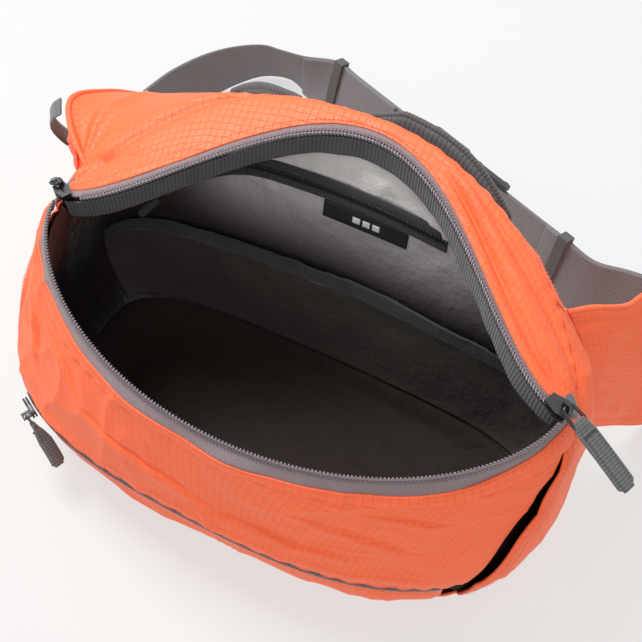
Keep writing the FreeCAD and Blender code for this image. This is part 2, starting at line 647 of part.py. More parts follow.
handle_ends = [off(angle, 4.62, HANDLE_STANDOFF) for angle in (123.0, 109.0)]
handle_rise = [(8, 5, 6), (17, 9, 11), (27, 11, 13.5), (36, 11, 13.5), (43, 10, 11.5)]
handle_points = [handle_ends[0]] + [handle_ends[0] + V(*step) for step in handle_rise] + [handle_ends[1]]
keep("grab_handle", strip_arch([tuple(p) for p in handle_points], V(0, 9, 9), 2.0))
LOOP_POINTS = [(-224, 66, 178), (-233, 66, 168), (-238, 68, 154), (-233, 71, 141), (-226, 74, 134)]
keep("wing_loop_left", strip_arch(LOOP_POINTS, V(-8, 12, 2), 1.6, 9))

# ---- the inner zip pocket on the back lining ----
INNER_ZIP = [(-146, 52, 143), (-120, 71, 159), (-88, 83.5, 172), (-40, 86, 178), (10, 86, 179), (62, 85, 175)]


def inner_zip(width, toward_front, thickness):
    """A band centred on the inner zip's line, lying in front of the lining."""
    middle = path_curve(INNER_ZIP)
    rise = V(0, 0.26, 0.96) * (width / 2)
    return ribbon(lambda t: middle(t) - rise, lambda t: middle(t) + rise, thickness, 21, offset=toward_front)


keep("inner_zip_tape", inner_zip(22.0, 0.0, 1.2))
keep("inner_zip_teeth", inner_zip(4.4, 1.6, 1.6))

inner_line = path_curve(INNER_ZIP)
inner_along = unit(inner_line(0.06) - inner_line(0.01))
inner_out = unit(inner_along.cross(V(0, 0.26, 0.96)))
slider_and_pull("inner", inner_line(0.035) + inner_out * 3.0, inner_along, inner_out, (9.0, 7.0, 8.3),
                inner_out * 0.45 - inner_along * 0.9, inner_out * 0.9 + inner_along * 0.45,
                (9.0, 5.0, 1.5), (13.0, 4.4, 3.2))

for name, shape in PARTS.items():
    shape.exportStep(f"parts/{name}.step")
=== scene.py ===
"""Lumbar daypack with its mouth zip open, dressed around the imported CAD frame.

Shapes are worked out in millimetres with the CAD's own skin function and turned into metres in add_mesh.
"""
import math
import bmesh
import bpy
import numpy as np
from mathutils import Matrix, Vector, noise


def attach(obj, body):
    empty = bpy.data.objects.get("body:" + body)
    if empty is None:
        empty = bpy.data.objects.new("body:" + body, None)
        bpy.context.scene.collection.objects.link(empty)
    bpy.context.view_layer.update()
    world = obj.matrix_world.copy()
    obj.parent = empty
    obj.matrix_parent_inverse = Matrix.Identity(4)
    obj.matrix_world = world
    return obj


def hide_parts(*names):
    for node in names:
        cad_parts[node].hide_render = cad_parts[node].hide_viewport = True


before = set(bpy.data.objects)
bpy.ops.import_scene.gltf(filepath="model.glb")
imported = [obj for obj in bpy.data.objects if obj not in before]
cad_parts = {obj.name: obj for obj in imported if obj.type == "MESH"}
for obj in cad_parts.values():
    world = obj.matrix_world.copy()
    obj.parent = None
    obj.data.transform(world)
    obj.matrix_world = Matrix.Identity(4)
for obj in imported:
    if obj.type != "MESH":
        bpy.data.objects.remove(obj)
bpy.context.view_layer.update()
SHELL = "pack"
MM = 0.001

# ---- driving dimensions, in millimetres, the same as the CAD's ----
CENTRE_Y = -2.0
CLOTH = 1.6
LINING = 1.0
LINING_INSET = 3.5
TAPE_WIDTH = 11.0
TAPE = 1.2
COIL_WIDTH = 3.8
COIL_HEIGHT = 2.6
COIL_PITCH = 2.3
POCKET_ZIP_LEVEL = 1.9
POCKET_HALF_ANGLE = 49.0
LINING_CREST_LEVEL = 4.6
SIDE_POCKET_BOTTOM = 1.2
SIDE_POCKET_BACK_ANGLE = 36.0
SIDE_TOP_LEVEL = 4.9
WEBBING_WIDTH = 50.0
WEBBING = 2.0

FRONT_LEVELS = np.array([
    (3.2, 0.0, 160.0, 146.0, 74.0, 3.2, 2.8, 1.0),
    (17.0, 0.0, 187.0, 168.0, 97.0, 3.1, 2.6, 1.0),
    (62.0, 0.0, 205.0, 184.0, 112.0, 2.9, 2.3, 1.0),
    (105.0, 3.0, 199.0, 186.0, 111.0, 2.5, 2.15, 1.0),
    (132.0, 9.0, 190.0, 184.0, 109.0, 2.2, 2.05, 1.03),
    (150.0, 13.0, 182.0, 181.0, 106.5, 2.05, 2.0, 1.07),
    (165.0, 17.0, 176.0, 176.0, 103.0, 2.0, 2.0, 1.1),
])
BACK_LEVELS = np.array([
    (0.0, 1.0, 62.0, 3.2, 3.2, 1.0),
    (0.0, 1.0, 74.0, 4.0, 4.0, 1.0),
    (3.0, 1.0, 82.0, 4.8, 5.0, 1.0),
    (22.0, 1.0, 88.0, 4.4, 4.8, 1.0),
    (52.0, 1.1, 100.0, 3.2, 2.6, 1.0),
    (67.0, 1.5, 114.0, 2.7, 1.8, 1.1),
    (46.0, 3.0, 100.0, 2.0, 2.0, 4.0),
])
TOP = len(FRONT_LEVELS) - 1
HEM = [(1.2, 325.0), (2.0, 327.0), (3.0, 336.0), (4.0, 346.0), (5.3, 358.0)]
SLIT_WIDTH = [(1.2, 0.0), (2.0, 9.0), (3.0, 9.0), (4.0, 8.0), (5.3, 1.0)]
FRONT_EDGE_RIGHT = [(1.2, 0.0), (2.0, 3.2), (3.0, 3.4), (4.0, 3.0), (5.3, 0.5)]
LEFT_SHUT = 0.12       # the left side pocket lies nearly flat
HEM_FLARE = 5.5
SIDE_WALL_SINK = 4.5
LINING_SIDE_SINK = 7.5


# ---- the shell's skin: angles in degrees and levels as arrays, points as (..., 3) ----
def node_point(angle, level):
    """The shell's points at whole-numbered levels."""
    c, s = np.cos(np.radians(angle)), np.sin(np.radians(angle))
    front = np.moveaxis(FRONT_LEVELS[level], -1, 0)
    z, rise, half_left, half_right, depth, boxy_left, boxy_right, sharp = front
    rise_back, power, deep, b_left, b_right, sharp_back = np.moveaxis(BACK_LEVELS[level], -1, 0)
    back = s > 0
    height = z + np.where(back, rise + rise_back * np.maximum(s, 0) ** power, rise * c * c)
    depth = np.where(back, deep, depth)
    boxy = np.where(c >= 0, np.where(back, b_right, boxy_right), np.where(back, b_left, boxy_left))
    sharp = np.where(back, sharp_back, sharp)
    half = np.where(c >= 0, half_right, half_left)
    reach = (np.abs(c) ** boxy + np.abs(s) ** boxy) ** (-1.0 / boxy)
    side = np.where(back, 1.0, -1.0)
    return np.stack([half * reach * c, CENTRE_Y + side * depth * reach * np.abs(s) ** sharp, height], -1)


def skin(angle, level):
    """The shell's outer surface: a centripetal spline through the whole levels."""
    angle, level = np.broadcast_arrays(np.asarray(angle, float), np.asarray(level, float))
    i = np.clip(level.astype(int), 0, TOP - 1)
    p = [node_point(angle, k) for k in (np.maximum(0, i - 1), i, i + 1, np.minimum(TOP, i + 2))]
    gap = [np.maximum(np.linalg.norm(p[k + 1] - p[k], axis=-1), 1e-3)[..., None] ** 0.5 for k in range(3)]
    chord = p[2] - p[1]
    rising = ((p[1] - p[0]) / gap[0] - (p[2] - p[0]) / (gap[0] + gap[1]) + chord / gap[1]) * gap[1]
    leaving = (chord / gap[1] - (p[3] - p[1]) / (gap[1] + gap[2]) + (p[3] - p[2]) / gap[2]) * gap[1]
    start = np.where((i > 0)[..., None], rising, chord)
    end = np.where((i < TOP - 1)[..., None], leaving, chord)
    t = (level - i)[..., None]
    a, b = t * t * (3 - 2 * t), t * (1 - t)
    return p[1] * (1 - a) + p[2] * a + start * (b * (1 - t)) - end * (b * t)


def normalized(v):
    return v / np.maximum(np.linalg.norm(v, axis=-1, keepdims=True), 1e-9)


def outward(angle, level):
    around = skin(angle + 0.4, level) - skin(angle - 0.4, level)
    climb = skin(angle, np.minimum(TOP, level + 0.02)) - skin(angle, np.maximum(0, level - 0.02))
    return normalized(np.cross(around, climb))


def climb_at(angle, level):
    return normalized(skin(angle, np.minimum(TOP, level + 0.05)) - skin(angle, np.maximum(0, level - 0.05)))


def off(angle, level, distance):
    """Points that far outside the shell."""
    angle, level = np.broadcast_arrays(np.asarray(angle, float), np.asarray(level, float))
    return skin(angle, level) + outward(angle, level) * np.asarray(distance)[..., None]


def below_mouth(distance):
    """A function of the angle: the level a distance below the mouth's edge."""
    angles = np.arange(0.0, 361.0, 2.0)
    levels = np.linspace(TOP, TOP - 1.8, 181)
    grid = skin(angles[:, None], levels[None, :])
    run = np.cumsum(np.linalg.norm(np.diff(grid, axis=1), axis=-1), axis=1)
    found = [np.interp(distance, np.concatenate([[0.0], row]), levels) for row in run]
    return lambda angle: np.interp(np.mod(angle, 360.0), angles, found)


def level_away(start, distance):
    """The level a distance above a level at the front's middle, or below it."""
    levels = np.linspace(start, start + math.copysign(0.9, distance), 91)
    run = np.cumsum(np.linalg.norm(np.diff(skin(270.0, levels), axis=0), axis=-1))
    return float(np.interp(abs(distance), np.concatenate([[0.0], run]), levels))


def rows(table, x):
    return np.interp(x, [r[0] for r in table], [r[1] for r in table])


def turned(angle, right):
    return angle if right else 540.0 - angle


# ---- soft wrinkles of the outer cloth ----
def noise_at(points, scale, seed):
    """Smooth noise of about -1..1; scale is the lump size in millimetres along each axis."""
    flat = points.reshape(-1, 3) / np.asarray(scale, float)
    values = [noise.noise(Vector((p[0] + seed, p[1] - seed, p[2] + 2.3 * seed))) for p in flat.tolist()]
    return np.array(values).reshape(points.shape[:-1])


def bump_line(value, centre, width):
    return np.exp(-((value - centre) / width) ** 2)


def span(value, low, high, soft):
    """1 between low and high, falling to 0 over `soft` outside."""
    return np.clip((value - low) / soft + 1, 0, 1) * np.clip((high - value) / soft + 1, 0, 1)


# Long folds of the front cloth: the angle and level of each one's two ends, and its depth.
FRONT_FOLDS = [((236, 3.5), (276, 2.75), 2.4), ((262, 2.55), (306, 2.9), 2.2), ((284, 3.9), (316, 3.0), 1.8),
               ((212, 4.5), (228, 3.0), 2.2), ((222, 4.6), (243, 3.6), 2.0), ((300, 4.4), (322, 4.0), 1.6),
               ((200, 4.0), (212, 2.6), 1.8)]


def long_folds(angle, level):
    """Drawn folds: each is a groove with a rounder ridge beside it, fading out at both ends."""
    height = np.zeros(np.shape(angle))
    for (a0, l0), (a1, l1), depth in FRONT_FOLDS:
        run = np.array([(a1 - a0) * 2.4, (l1 - l0) * 40.0])
        length = float(np.hypot(*run))
        x, y = (angle - a0) * 2.4, (level - l0) * 40.0
        along = (x * run[0] + y * run[1]) / length ** 2
        away = (x * run[1] - y * run[0]) / length + 2.5 * np.sin(along * 5.0)
        fade = np.sin(np.pi * np.clip(along, 0, 1))
        height += depth * fade * (0.8 * np.exp(-((away - 5.0) / 5.5) ** 2) - np.exp(-(away / 2.6) ** 2))
    return height


def wrinkle(angle, level, points):
    """How far the cloth stands out of the shell, in millimetres."""
    angle = np.mod(angle, 360.0)
    height = np.clip(level / 1.2, 0.0, 1.0) * np.clip((TOP - level) / 0.5, 0.0, 1.0)
    soft = 3.4 * noise_at(points, (70, 70, 50), 3.1) + 0.8 * noise_at(points, (28, 28, 20), 9.4)
    turned_points = points @ np.array([[0.8, -0.6, 0.0], [0.6, 0.8, 0.0], [0.0, 0.0, 1.0]])
    creases = 1.0 - np.abs(noise_at(turned_points, (150, 38, 46), 17.0)) * 1.8
    creases = 2.0 * np.clip(creases, 0, 1) ** 3
    drape = 1.0 - np.abs(noise_at(points, (44, 44, 90), 5.5)) * 1.7
    drape = 1.4 * np.clip(drape, 0, 1) ** 3 * span(angle, 195, 345, 20)
    below_zip = mouth_seam(angle) - level
    fold = -4.5 * bump_line(below_zip, 0.05, 0.06) * span(angle, 26, 62, 12)
    fold += 3.4 * bump_line(below_zip, 0.24, 0.13) * span(angle, 20, 66, 14)
    crease = 0.5 + 0.1 * np.sin(np.radians(angle * 4))
    fold += -3.0 * bump_line(below_zip, crease, 0.09) * span(angle, 24, 60, 14)
    left_fold = -3.4 * bump_line(below_zip, 0.3 - 0.012 * (angle - 150), 0.08) * span(angle, 122, 168, 12)
    left_fold += -2.6 * bump_line(below_zip, 0.12 + 0.016 * (angle - 140), 0.08) * span(angle, 112, 160, 12)
    flap = 2.4 * bump_line(level, 2.28, 0.11) * span(angle, 232, 308, 10)
    drawn = long_folds(angle, level)
    pucker = np.sin(np.radians(angle) * 70 + 3 * noise_at(points, (40, 40, 40), 2.0))
    pucker = 0.5 * pucker * (bump_line(level, 4.93, 0.12) + bump_line(level, POCKET_ZIP_LEVEL, 0.22))
    front = span(angle, 214, 326, 8)
    calm = 1.0 - 0.85 * front * bump_line(level, POCKET_ZIP_LEVEL, 0.3)
    calm = calm * (1.0 - 0.8 * span(angle, 14, 118, 12) * np.clip((level - 4.5) / 0.3, 0, 1))
    swell = np.maximum(soft + creases + drape + flap, -1.3) * calm + pucker
    return (swell + drawn + left_fold + fold) * height


# ---- meshes ----
def length_along(path):
    """The length from a path's start to each of its points."""
    return np.concatenate([[0], np.cumsum(np.linalg.norm(np.diff(path, axis=0), axis=-1))])


def between(low, high, share):
    """A grid of points from one line to another."""
    return low[:, None] + (high - low)[:, None] * share[None, :, None]


def add_mesh(name, points, faces, material, cloth):
    """A mesh object from points in millimetres. cloth is each point's place on the flat fabric."""
    mesh = bpy.data.meshes.new(name)
    mesh.from_pydata((np.asarray(points, float) * MM).tolist(), [], faces)
    flat = np.zeros((len(points), 3))
    flat[:, :2] = np.asarray(cloth) * MM
    layer = mesh.attributes.new("cloth", "FLOAT_VECTOR", "POINT")
    layer.data.foreach_set("vector", flat.astype(np.float32).ravel())
    mesh.polygons.foreach_set("use_smooth", [True] * len(mesh.polygons))
    work = bmesh.new()
    work.from_mesh(mesh)
    bmesh.ops.recalc_face_normals(work, faces=work.faces)
    work.to_mesh(mesh)
    work.free()
    mesh.materials.append(material)
    piece = bpy.data.objects.new(name, mesh)
    bpy.context.scene.collection.objects.link(piece)
    return piece


def grid_faces(nu, nv, start=0, wrap_v=False):
    columns = nv if wrap_v else nv - 1
    return [(start + i * nv + j, start + (i + 1) * nv + j,
             start + (i + 1) * nv + (j + 1) % nv, start + i * nv + (j + 1) % nv)
            for i in range(nu - 1) for j in range(columns)]


def flat_place(grid):
    """Each grid point's run along the cloth and across it."""
    nu, nv = grid.shape[:2]
    along = length_along(grid[:, nv // 2])
    steps = np.linalg.norm(np.diff(grid, axis=1), axis=-1)
    across = np.concatenate([np.zeros((nu, 1)), np.cumsum(steps, axis=1)], 1)
    return np.stack([np.repeat(along[:, None], nv, 1), across], -1)


def two_sided(name, outer, inner, material):
    """A closed sheet between two grids of points."""
    nu, nv = outer.shape[:2]
    count = nu * nv
    place = flat_place(outer).reshape(-1, 2)
    faces = grid_faces(nu, nv) + [f[::-1] for f in grid_faces(nu, nv, count)]
    rim = [i * nv for i in range(nu)] + [(nu - 1) * nv + j for j in range(1, nv)]
    rim += [i * nv + nv - 1 for i in range(nu - 2, -1, -1)] + [j for j in range(nv - 2, 0, -1)]
    for a, b in zip(rim, rim[1:] + rim[:1]):
        faces.append((a, b, b + count, a + count))
    points = np.concatenate([outer.reshape(-1, 3), inner.reshape(-1, 3)])
    return add_mesh(name, points, faces, material, np.concatenate([place, place]))


def tube(name, path, radius, material, sides=8, across=None):
    """A round tube along a line of points."""
    tangent = normalized(np.gradient(path, axis=0))
    guide = np.broadcast_to(np.array([0.0, 0.0, 1.0]) if across is None else across, path.shape)
    side = normalized(np.cross(tangent, guide))
    up = np.cross(side, tangent)
    turn = np.linspace(0, 2 * math.pi, sides, endpoint=False)
    ring = side[:, None] * np.cos(turn)[None, :, None] + up[:, None] * np.sin(turn)[None, :, None]
    points = path[:, None] + ring * radius
    n = len(path)
    run = length_along(path)
    place = np.stack([np.repeat(run[:, None], sides, 1), np.repeat((turn * radius)[None], n, 0)], -1)
    faces = grid_faces(n, sides, wrap_v=True)
    faces += [tuple(range(sides)), tuple(reversed(range((n - 1) * sides, n * sides)))]
    return add_mesh(name, points.reshape(-1, 3), faces, material, place.reshape(-1, 2))


def smooth_path(points, count):
    """Points evenly spread along a smooth curve through the given ones."""
    points = np.asarray(points, float)
    knots = np.concatenate([[0], np.cumsum(np.linalg.norm(np.diff(points, axis=0), axis=-1) ** 0.5)])
    slopes = np.gradient(points, knots, axis=0)
    t = np.linspace(0, knots[-1], count * 4)
    i = np.clip(np.searchsorted(knots, t, side="right") - 1, 0, len(knots) - 2)
    width = (knots[i + 1] - knots[i])[:, None]
    s = ((t - knots[i])[:, None]) / width
    curve = ((1 + 2 * s) * (1 - s) ** 2 * points[i] + s * (1 - s) ** 2 * width * slopes[i]
             + s * s * (3 - 2 * s) * points[i + 1] + s * s * (s - 1) * width * slopes[i + 1])
    run = length_along(curve)
    even = np.linspace(0, run[-1], count)
    return np.stack([np.interp(even, run, curve[:, k]) for k in range(3)], -1)


def stitches(name, path, normals, material, pitch=2.8, length=2.1, width=0.5):
    """A row of thread stitches along a path, each a small rounded bar lying on the cloth."""
    run = length_along(path)

    def spot(values, at):
        return np.array([np.interp(at, run, values[:, k]) for k in range(3)])
    points, faces = [], []
    for s in np.arange(pitch / 2, run[-1] - pitch / 2, pitch):
        ends = [spot(path, s + d) for d in (-length / 2, 0, length / 2)]
        up = normalized(spot(normals, s))
        side = normalized(np.cross(ends[2] - ends[0], up)) * width / 2
        first = len(points)
        for centre, lift, size in ((ends[0], -0.05, 0.5), (ends[1], 0.35, 1.0), (ends[2], -0.05, 0.5)):
            for a, b in ((-1, 0), (-0.6, 1), (0.6, 1), (1, 0), (0, -0.8)):
                points.append(centre + side * a * size + up * (lift + b * width * 0.4 * size))
        faces += grid_faces(3, 5, first, wrap_v=True)
        faces += [tuple(range(first, first + 5)), tuple(reversed(range(first + 10, first + 15)))]
    return add_mesh(name, points, faces, material, np.zeros((len(points), 2)))


def finish_piece(piece, nodes=(), body=SHELL):
    """Puts a piece on its body and hides the CAD nodes it stands for."""
    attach(piece, body)
    if nodes:
        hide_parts(*nodes)
    return piece


# ---- materials ----
class Shader:
    """A node material whose helpers each add one node and return its output."""

    def __init__(self, name, color, rough, **sockets):
        self.material = bpy.data.materials.new(name)
        self.material.use_nodes = True
        self.tree = self.material.node_tree
        self.bsdf = self.tree.nodes["Principled BSDF"]
        self.color = color
        self.bsdf.inputs["Roughness"].default_value = rough
        self.bsdf.inputs["Base Color"].default_value = (*color, 1)
        for key, value in sockets.items():
            self.bsdf.inputs[key.replace("_", " ")].default_value = value
        self.heights = []

    def node(self, kind, **values):
        made = self.tree.nodes.new(kind)
        for key, value in values.items():
            setattr(made, key, value)
        return made

    def link(self, a, b):
        self.tree.links.new(a, b)

    def math(self, operation, a, b=None, c=None):
        made = self.node("ShaderNodeMath", operation=operation)
        for k, value in enumerate((a, b, c)):
            if value is None:
                continue
            if isinstance(value, (int, float)):
                made.inputs[k].default_value = value
            else:
                self.link(value, made.inputs[k])
        return made.outputs[0]

    def cloth(self):
        """The place on the flat cloth, in metres, as two outputs."""
        attribute = self.node("ShaderNodeAttribute", attribute_name="cloth")
        split = self.node("ShaderNodeSeparateXYZ")
        self.link(attribute.outputs["Vector"], split.inputs[0])
        return split.outputs[0], split.outputs[1]

    def object_place(self):
        return self.node("ShaderNodeTexCoord").outputs["Object"]

    def lines(self, value, period, share):
        """1 on thin lines every `period` metres, 0 between them; they fill `share` of the period."""
        wave = self.math("PINGPONG", self.math("DIVIDE", value, period), 0.5)
        made = self.node("ShaderNodeMapRange", interpolation_type="SMOOTHSTEP")
        self.link(wave, made.inputs[0])
        made.inputs[1].default_value = share / 2
        made.inputs[2].default_value = 0.0
        return made.outputs[0]

    def smooth_range(self, value, low, high):
        made = self.node("ShaderNodeMapRange", interpolation_type="SMOOTHSTEP")
        self.link(value, made.inputs[0])
        made.inputs[1].default_value = low
        made.inputs[2].default_value = high
        return made.outputs[0]

    def ribs(self, value, period):
        """Round ribs every `period` metres, 0..1."""
        phase = self.math("MULTIPLY", value, 2 * math.pi / period)
        return self.math("MULTIPLY_ADD", self.math("SINE", phase), 0.5, 0.5)

    def noise(self, scale, detail=3.0, rough=0.55, stretch=None):
        made = self.node("ShaderNodeTexNoise")
        made.inputs["Scale"].default_value = scale
        made.inputs["Detail"].default_value = detail
        made.inputs["Roughness"].default_value = rough
        place = self.object_place()
        if stretch:
            mapping = self.node("ShaderNodeMapping")
            mapping.inputs["Scale"].default_value = stretch
            self.link(place, mapping.inputs["Vector"])
            place = mapping.outputs[0]
        self.link(place, made.inputs["Vector"])
        return made.outputs["Fac"]

    def tint(self, factor, other, low=0.0, high=1.0):
        """Blends the colour so far towards another by a 0..1 output."""
        ranged = self.node("ShaderNodeMapRange")
        self.link(factor, ranged.inputs[0])
        ranged.inputs[3].default_value = low
        ranged.inputs[4].default_value = high
        mix = self.node("ShaderNodeMix", data_type="RGBA")
        self.link(ranged.outputs[0], mix.inputs["Factor"])
        existing = self.bsdf.inputs["Base Color"].links
        if existing:
            self.link(existing[0].from_socket, mix.inputs["A"])
        else:
            mix.inputs["A"].default_value = (*self.color, 1)
        mix.inputs["B"].default_value = (*other, 1)
        self.link(mix.outputs["Result"], self.bsdf.inputs["Base Color"])

    def bump(self, height, depth, strength=1.0):
        """Adds a height output, `depth` metres from 0 to 1."""
        made = self.node("ShaderNodeBump")
        made.inputs["Strength"].default_value = strength
        made.inputs["Distance"].default_value = depth
        self.link(height, made.inputs["Height"])
        if self.heights:
            self.link(self.heights[-1], made.inputs["Normal"])
        self.heights.append(made.outputs[0])
        self.link(made.outputs[0], self.bsdf.inputs["Normal"])

    def roughness(self, factor, low, high):
        ranged = self.node("ShaderNodeMapRange")
        self.link(factor, ranged.inputs[0])
        ranged.inputs[3].default_value = low
        ranged.inputs[4].default_value = high
        self.link(ranged.outputs[0], self.bsdf.inputs["Roughness"])


RIPSTOP_PERIOD = 0.0052


def ripstop(name, color, dark, grid_strength, rough, sheen):
    """Thin nylon with a raised grid of doubled threads over a fine plain weave."""
    s = Shader(name, color, rough, Sheen_Weight=sheen, Sheen_Roughness=0.4, Sheen_Tint=(1.0, 0.5, 0.3, 1.0))
    along, across = s.cloth()
    grid = s.math("MAXIMUM", s.lines(along, RIPSTOP_PERIOD, 0.2), s.lines(across, RIPSTOP_PERIOD, 0.2))
    weave = s.math("MULTIPLY", s.ribs(along, 0.0009), s.ribs(across, 0.0009))
    cloud = s.noise(14.0)
    s.tint(grid, dark, 0.0, grid_strength)
    s.tint(cloud, dark, 0.0, 0.2)
    s.bump(s.noise(30.0, 4.0, 0.6), 0.0045, 0.6)
    s.bump(grid, 0.0003, 0.6)
    s.bump(weave, 0.0001, 0.12)
    s.roughness(s.noise(60.0), rough - 0.08, rough + 0.1)
    return s.material


def woven(name, color, light, pitch, rough=0.7, along_pitch=None):
    """Ribbed webbing or tape: ribs across it, and threads along it."""
    s = Shader(name, color, rough, Sheen_Weight=0.25, Sheen_Roughness=0.5)
    along, across = s.cloth()
    rib = s.ribs(along, pitch)
    thread = s.ribs(across, along_pitch or pitch)
    weave = s.math("MULTIPLY_ADD", rib, 0.65, s.math("MULTIPLY", thread, 0.35))
    s.tint(weave, light, 0.0, 0.55)
    s.tint(s.noise(90.0), light, 0.0, 0.25)
    s.bump(weave, 0.0005, 0.8)
    s.bump(s.noise(900.0, 2.0), 0.0001, 0.5)
    s.roughness(weave, rough - 0.12, rough + 0.1)
    return s.material


def satin(name, color, light, rough, sheen=0.3, gloss=0.5, painted_light_above=None, painted_glow_end=0.0):
    """Thin lining cloth: a fine weave and long soft creases.

    It may be paler above a height, which is painted light, and carry a painted reddish glow at the left end,
    standing in for light coming through the orange shell.
    """
    s = Shader(name, color, rough, Sheen_Weight=sheen, Sheen_Roughness=0.35, Specular_IOR_Level=gloss)
    along, across = s.cloth()
    # painted light: the lining turns pale above a height and away from the left end, where light falls on the
    # back wall
    if painted_light_above:
        split = s.node("ShaderNodeSeparateXYZ")
        s.link(s.object_place(), split.inputs[0])
        high = s.smooth_range(split.outputs[2], painted_light_above - 0.03, painted_light_above + 0.075)
        inner = s.smooth_range(split.outputs[0], -0.165, -0.09)
        s.tint(s.math("MULTIPLY", high, inner), light, 0.0, 0.95)
    else:
        s.tint(s.noise(9.0), light, 0.0, 0.4)
    # painted glow: a reddish tint high at the left end, standing in for light coming through the orange shell
    if painted_glow_end:
        split = s.node("ShaderNodeSeparateXYZ")
        s.link(s.object_place(), split.inputs[0])
        end = s.math("SUBTRACT", 1.0, s.smooth_range(split.outputs[0], -0.172, -0.13))
        high = s.smooth_range(split.outputs[2], 0.09, 0.14)
        s.tint(s.math("MULTIPLY", high, end), (0.16, 0.045, 0.036), 0.0, painted_glow_end)
    s.bump(s.noise(22.0, 5.0, 0.62, (1.0, 1.6, 0.8)), 0.008, 0.7)
    s.bump(s.math("MULTIPLY", s.ribs(along, 0.0008), s.ribs(across, 0.0008)), 0.0001, 0.4)
    s.roughness(s.noise(40.0), rough - 0.08, rough + 0.12)
    return s.material


def moulded(name, color, rough, metallic=0.0, grain=700.0, coat=0.0):
    """Moulded plastic, rubber or plated metal with a fine grain and handling marks."""
    s = Shader(name, color, rough, Metallic=metallic, Coat_Weight=coat)
    light = tuple(min(1.0, c * 1.8 + 0.02) for c in color)
    s.tint(s.noise(35.0, 4.0), light, 0.0, 0.35)
    s.bump(s.noise(grain, 3.0), 0.00015, 0.5)
    s.roughness(s.noise(90.0, 4.0), rough - 0.1, rough + 0.14)
    return s.material


ORANGE = ripstop("orange_ripstop", (0.95, 0.145, 0.042), (0.78, 0.075, 0.02), 0.34, 0.55, 0.14)
ORANGE_THREAD = woven("orange_thread", (0.78, 0.1, 0.035), (0.9, 0.17, 0.07), 0.0008)
# the front lining carries a painted reddish glow at its left end, light coming through the shell
LINING_CLOTH = satin("lining_satin", (0.024, 0.017, 0.015), (0.05, 0.036, 0.032), 0.75, 0.05, 0.15,
                     painted_glow_end=0.7)
# the back lining is painted paler above about 0.125 m: a painted pool of light on its upper middle
BACK_LINING = satin("lining_lit", (0.024, 0.018, 0.017), (0.74, 0.69, 0.69), 0.42, 0.2, 0.4, 0.125, 0.6)
DARK_LINING = satin("lining_dark", (0.07, 0.052, 0.05), (0.12, 0.092, 0.088), 0.5, 0.15, 0.35)
SIDE_WALL_CLOTH = satin("lining_floor", (0.024, 0.017, 0.014), (0.045, 0.033, 0.028), 0.9, 0.0, 0.06)
ZIP_TAPE = woven("zip_tape_weave", (0.18, 0.13, 0.143), (0.36, 0.275, 0.29), 0.0011, 0.65, 0.0013)
TEETH = moulded("coil_nylon", (0.14, 0.122, 0.132), 0.26, 0.0, 500.0, 0.6)
BELT_WEBBING = woven("belt_webbing", (0.135, 0.13, 0.137), (0.245, 0.237, 0.247), 0.0015, 0.62, 0.0021)
GREY_WEBBING = woven("grey_webbing", (0.05, 0.053, 0.055), (0.16, 0.168, 0.17), 0.0021, 0.68, 0.0036)
GROSGRAIN = woven("grosgrain", (0.018, 0.017, 0.017), (0.15, 0.142, 0.142), 0.0026, 0.72, 0.0012)
BLACK_TAPE = woven("black_tape", (0.012, 0.012, 0.013), (0.045, 0.045, 0.048), 0.0012, 0.6)
BLACK_COIL = moulded("black_coil", (0.014, 0.014, 0.016), 0.3, 0.0, 500.0, 0.4)
GUNMETAL = moulded("gunmetal", (0.05, 0.052, 0.056), 0.36, 0.85, 400.0)
PLASTIC = moulded("black_acetal", (0.022, 0.023, 0.025), 0.42)
RUBBER = moulded("label_rubber", (0.012, 0.012, 0.013), 0.55)
LABEL_MARK = moulded("label_mark", (0.55, 0.55, 0.54), 0.5)
PAD_RIBS = woven("pad_ribs", (0.028, 0.028, 0.03), (0.15, 0.15, 0.155), 0.0034, 0.8, 0.0017)


# ---- the shell's cloth ----
def seam_roll(grid, depth=0.9, reach=2.6):
    """How far the cloth turns in along the panel's own edges."""
    place = flat_place(grid)
    along, across = place[..., 0], place[..., 1]
    edge = np.minimum(np.minimum(along, along[-1:] - along), np.minimum(across, across[:, -1:] - across))
    return -depth * np.exp(-(edge / reach) ** 2)


def laid(name, angle, level, lift, thickness, material, nodes=(), slot=None):
    """A sheet that stands `lift` off the shell over grids of angles and levels."""
    outer = off(angle, level, lift)
    inner = outer - outward(angle, level) * thickness
    return finish_piece(two_sided(name, outer, inner, material), nodes)


def dressed(name, angle, level, outside, nodes, ruffle=1.0, roll=0.9, thickness=CLOTH, material=ORANGE):
    """A wrinkled panel of the shell over grids of angles and levels."""
    base = skin(angle, level)
    lift = wrinkle(angle, level, base) * ruffle + seam_roll(base, roll) + outside
    return laid(name, angle, level, lift, thickness, material, nodes)


def spread(a0, a1, low, high, nu, nv):
    """Grids of angles and levels for a stretch of the shell; low and high are levels or functions."""
    angle = np.repeat(np.linspace(a0, a1, nu)[:, None], nv, 1)
    start = low(angle) if callable(low) else low + 0 * angle
    end = high(angle) if callable(high) else high + 0 * angle
    return angle, start + (end - start) * np.linspace(0, 1, nv)[None, :]


def side_grid(right, gap):
    """Angles and levels from `gap` degrees before a side pocket's hem to the back seam."""
    level = np.repeat(np.linspace(SIDE_POCKET_BOTTOM, SIDE_TOP_LEVEL, 90)[None, :], 90, 0)
    share = np.repeat(np.linspace(0, 1, 90)[:, None], 90, 1)
    start = rows(HEM, level) - gap(level)
    angle = start + (360.0 + SIDE_POCKET_BACK_ANGLE - start) * share
    return turned(angle, right), level, share


def pocket_climb(level):
    """0 at a side pocket's bottom and top, 1 half way up."""
    return np.sin(np.pi * (level - SIDE_POCKET_BOTTOM) / (SIDE_TOP_LEVEL - SIDE_POCKET_BOTTOM))


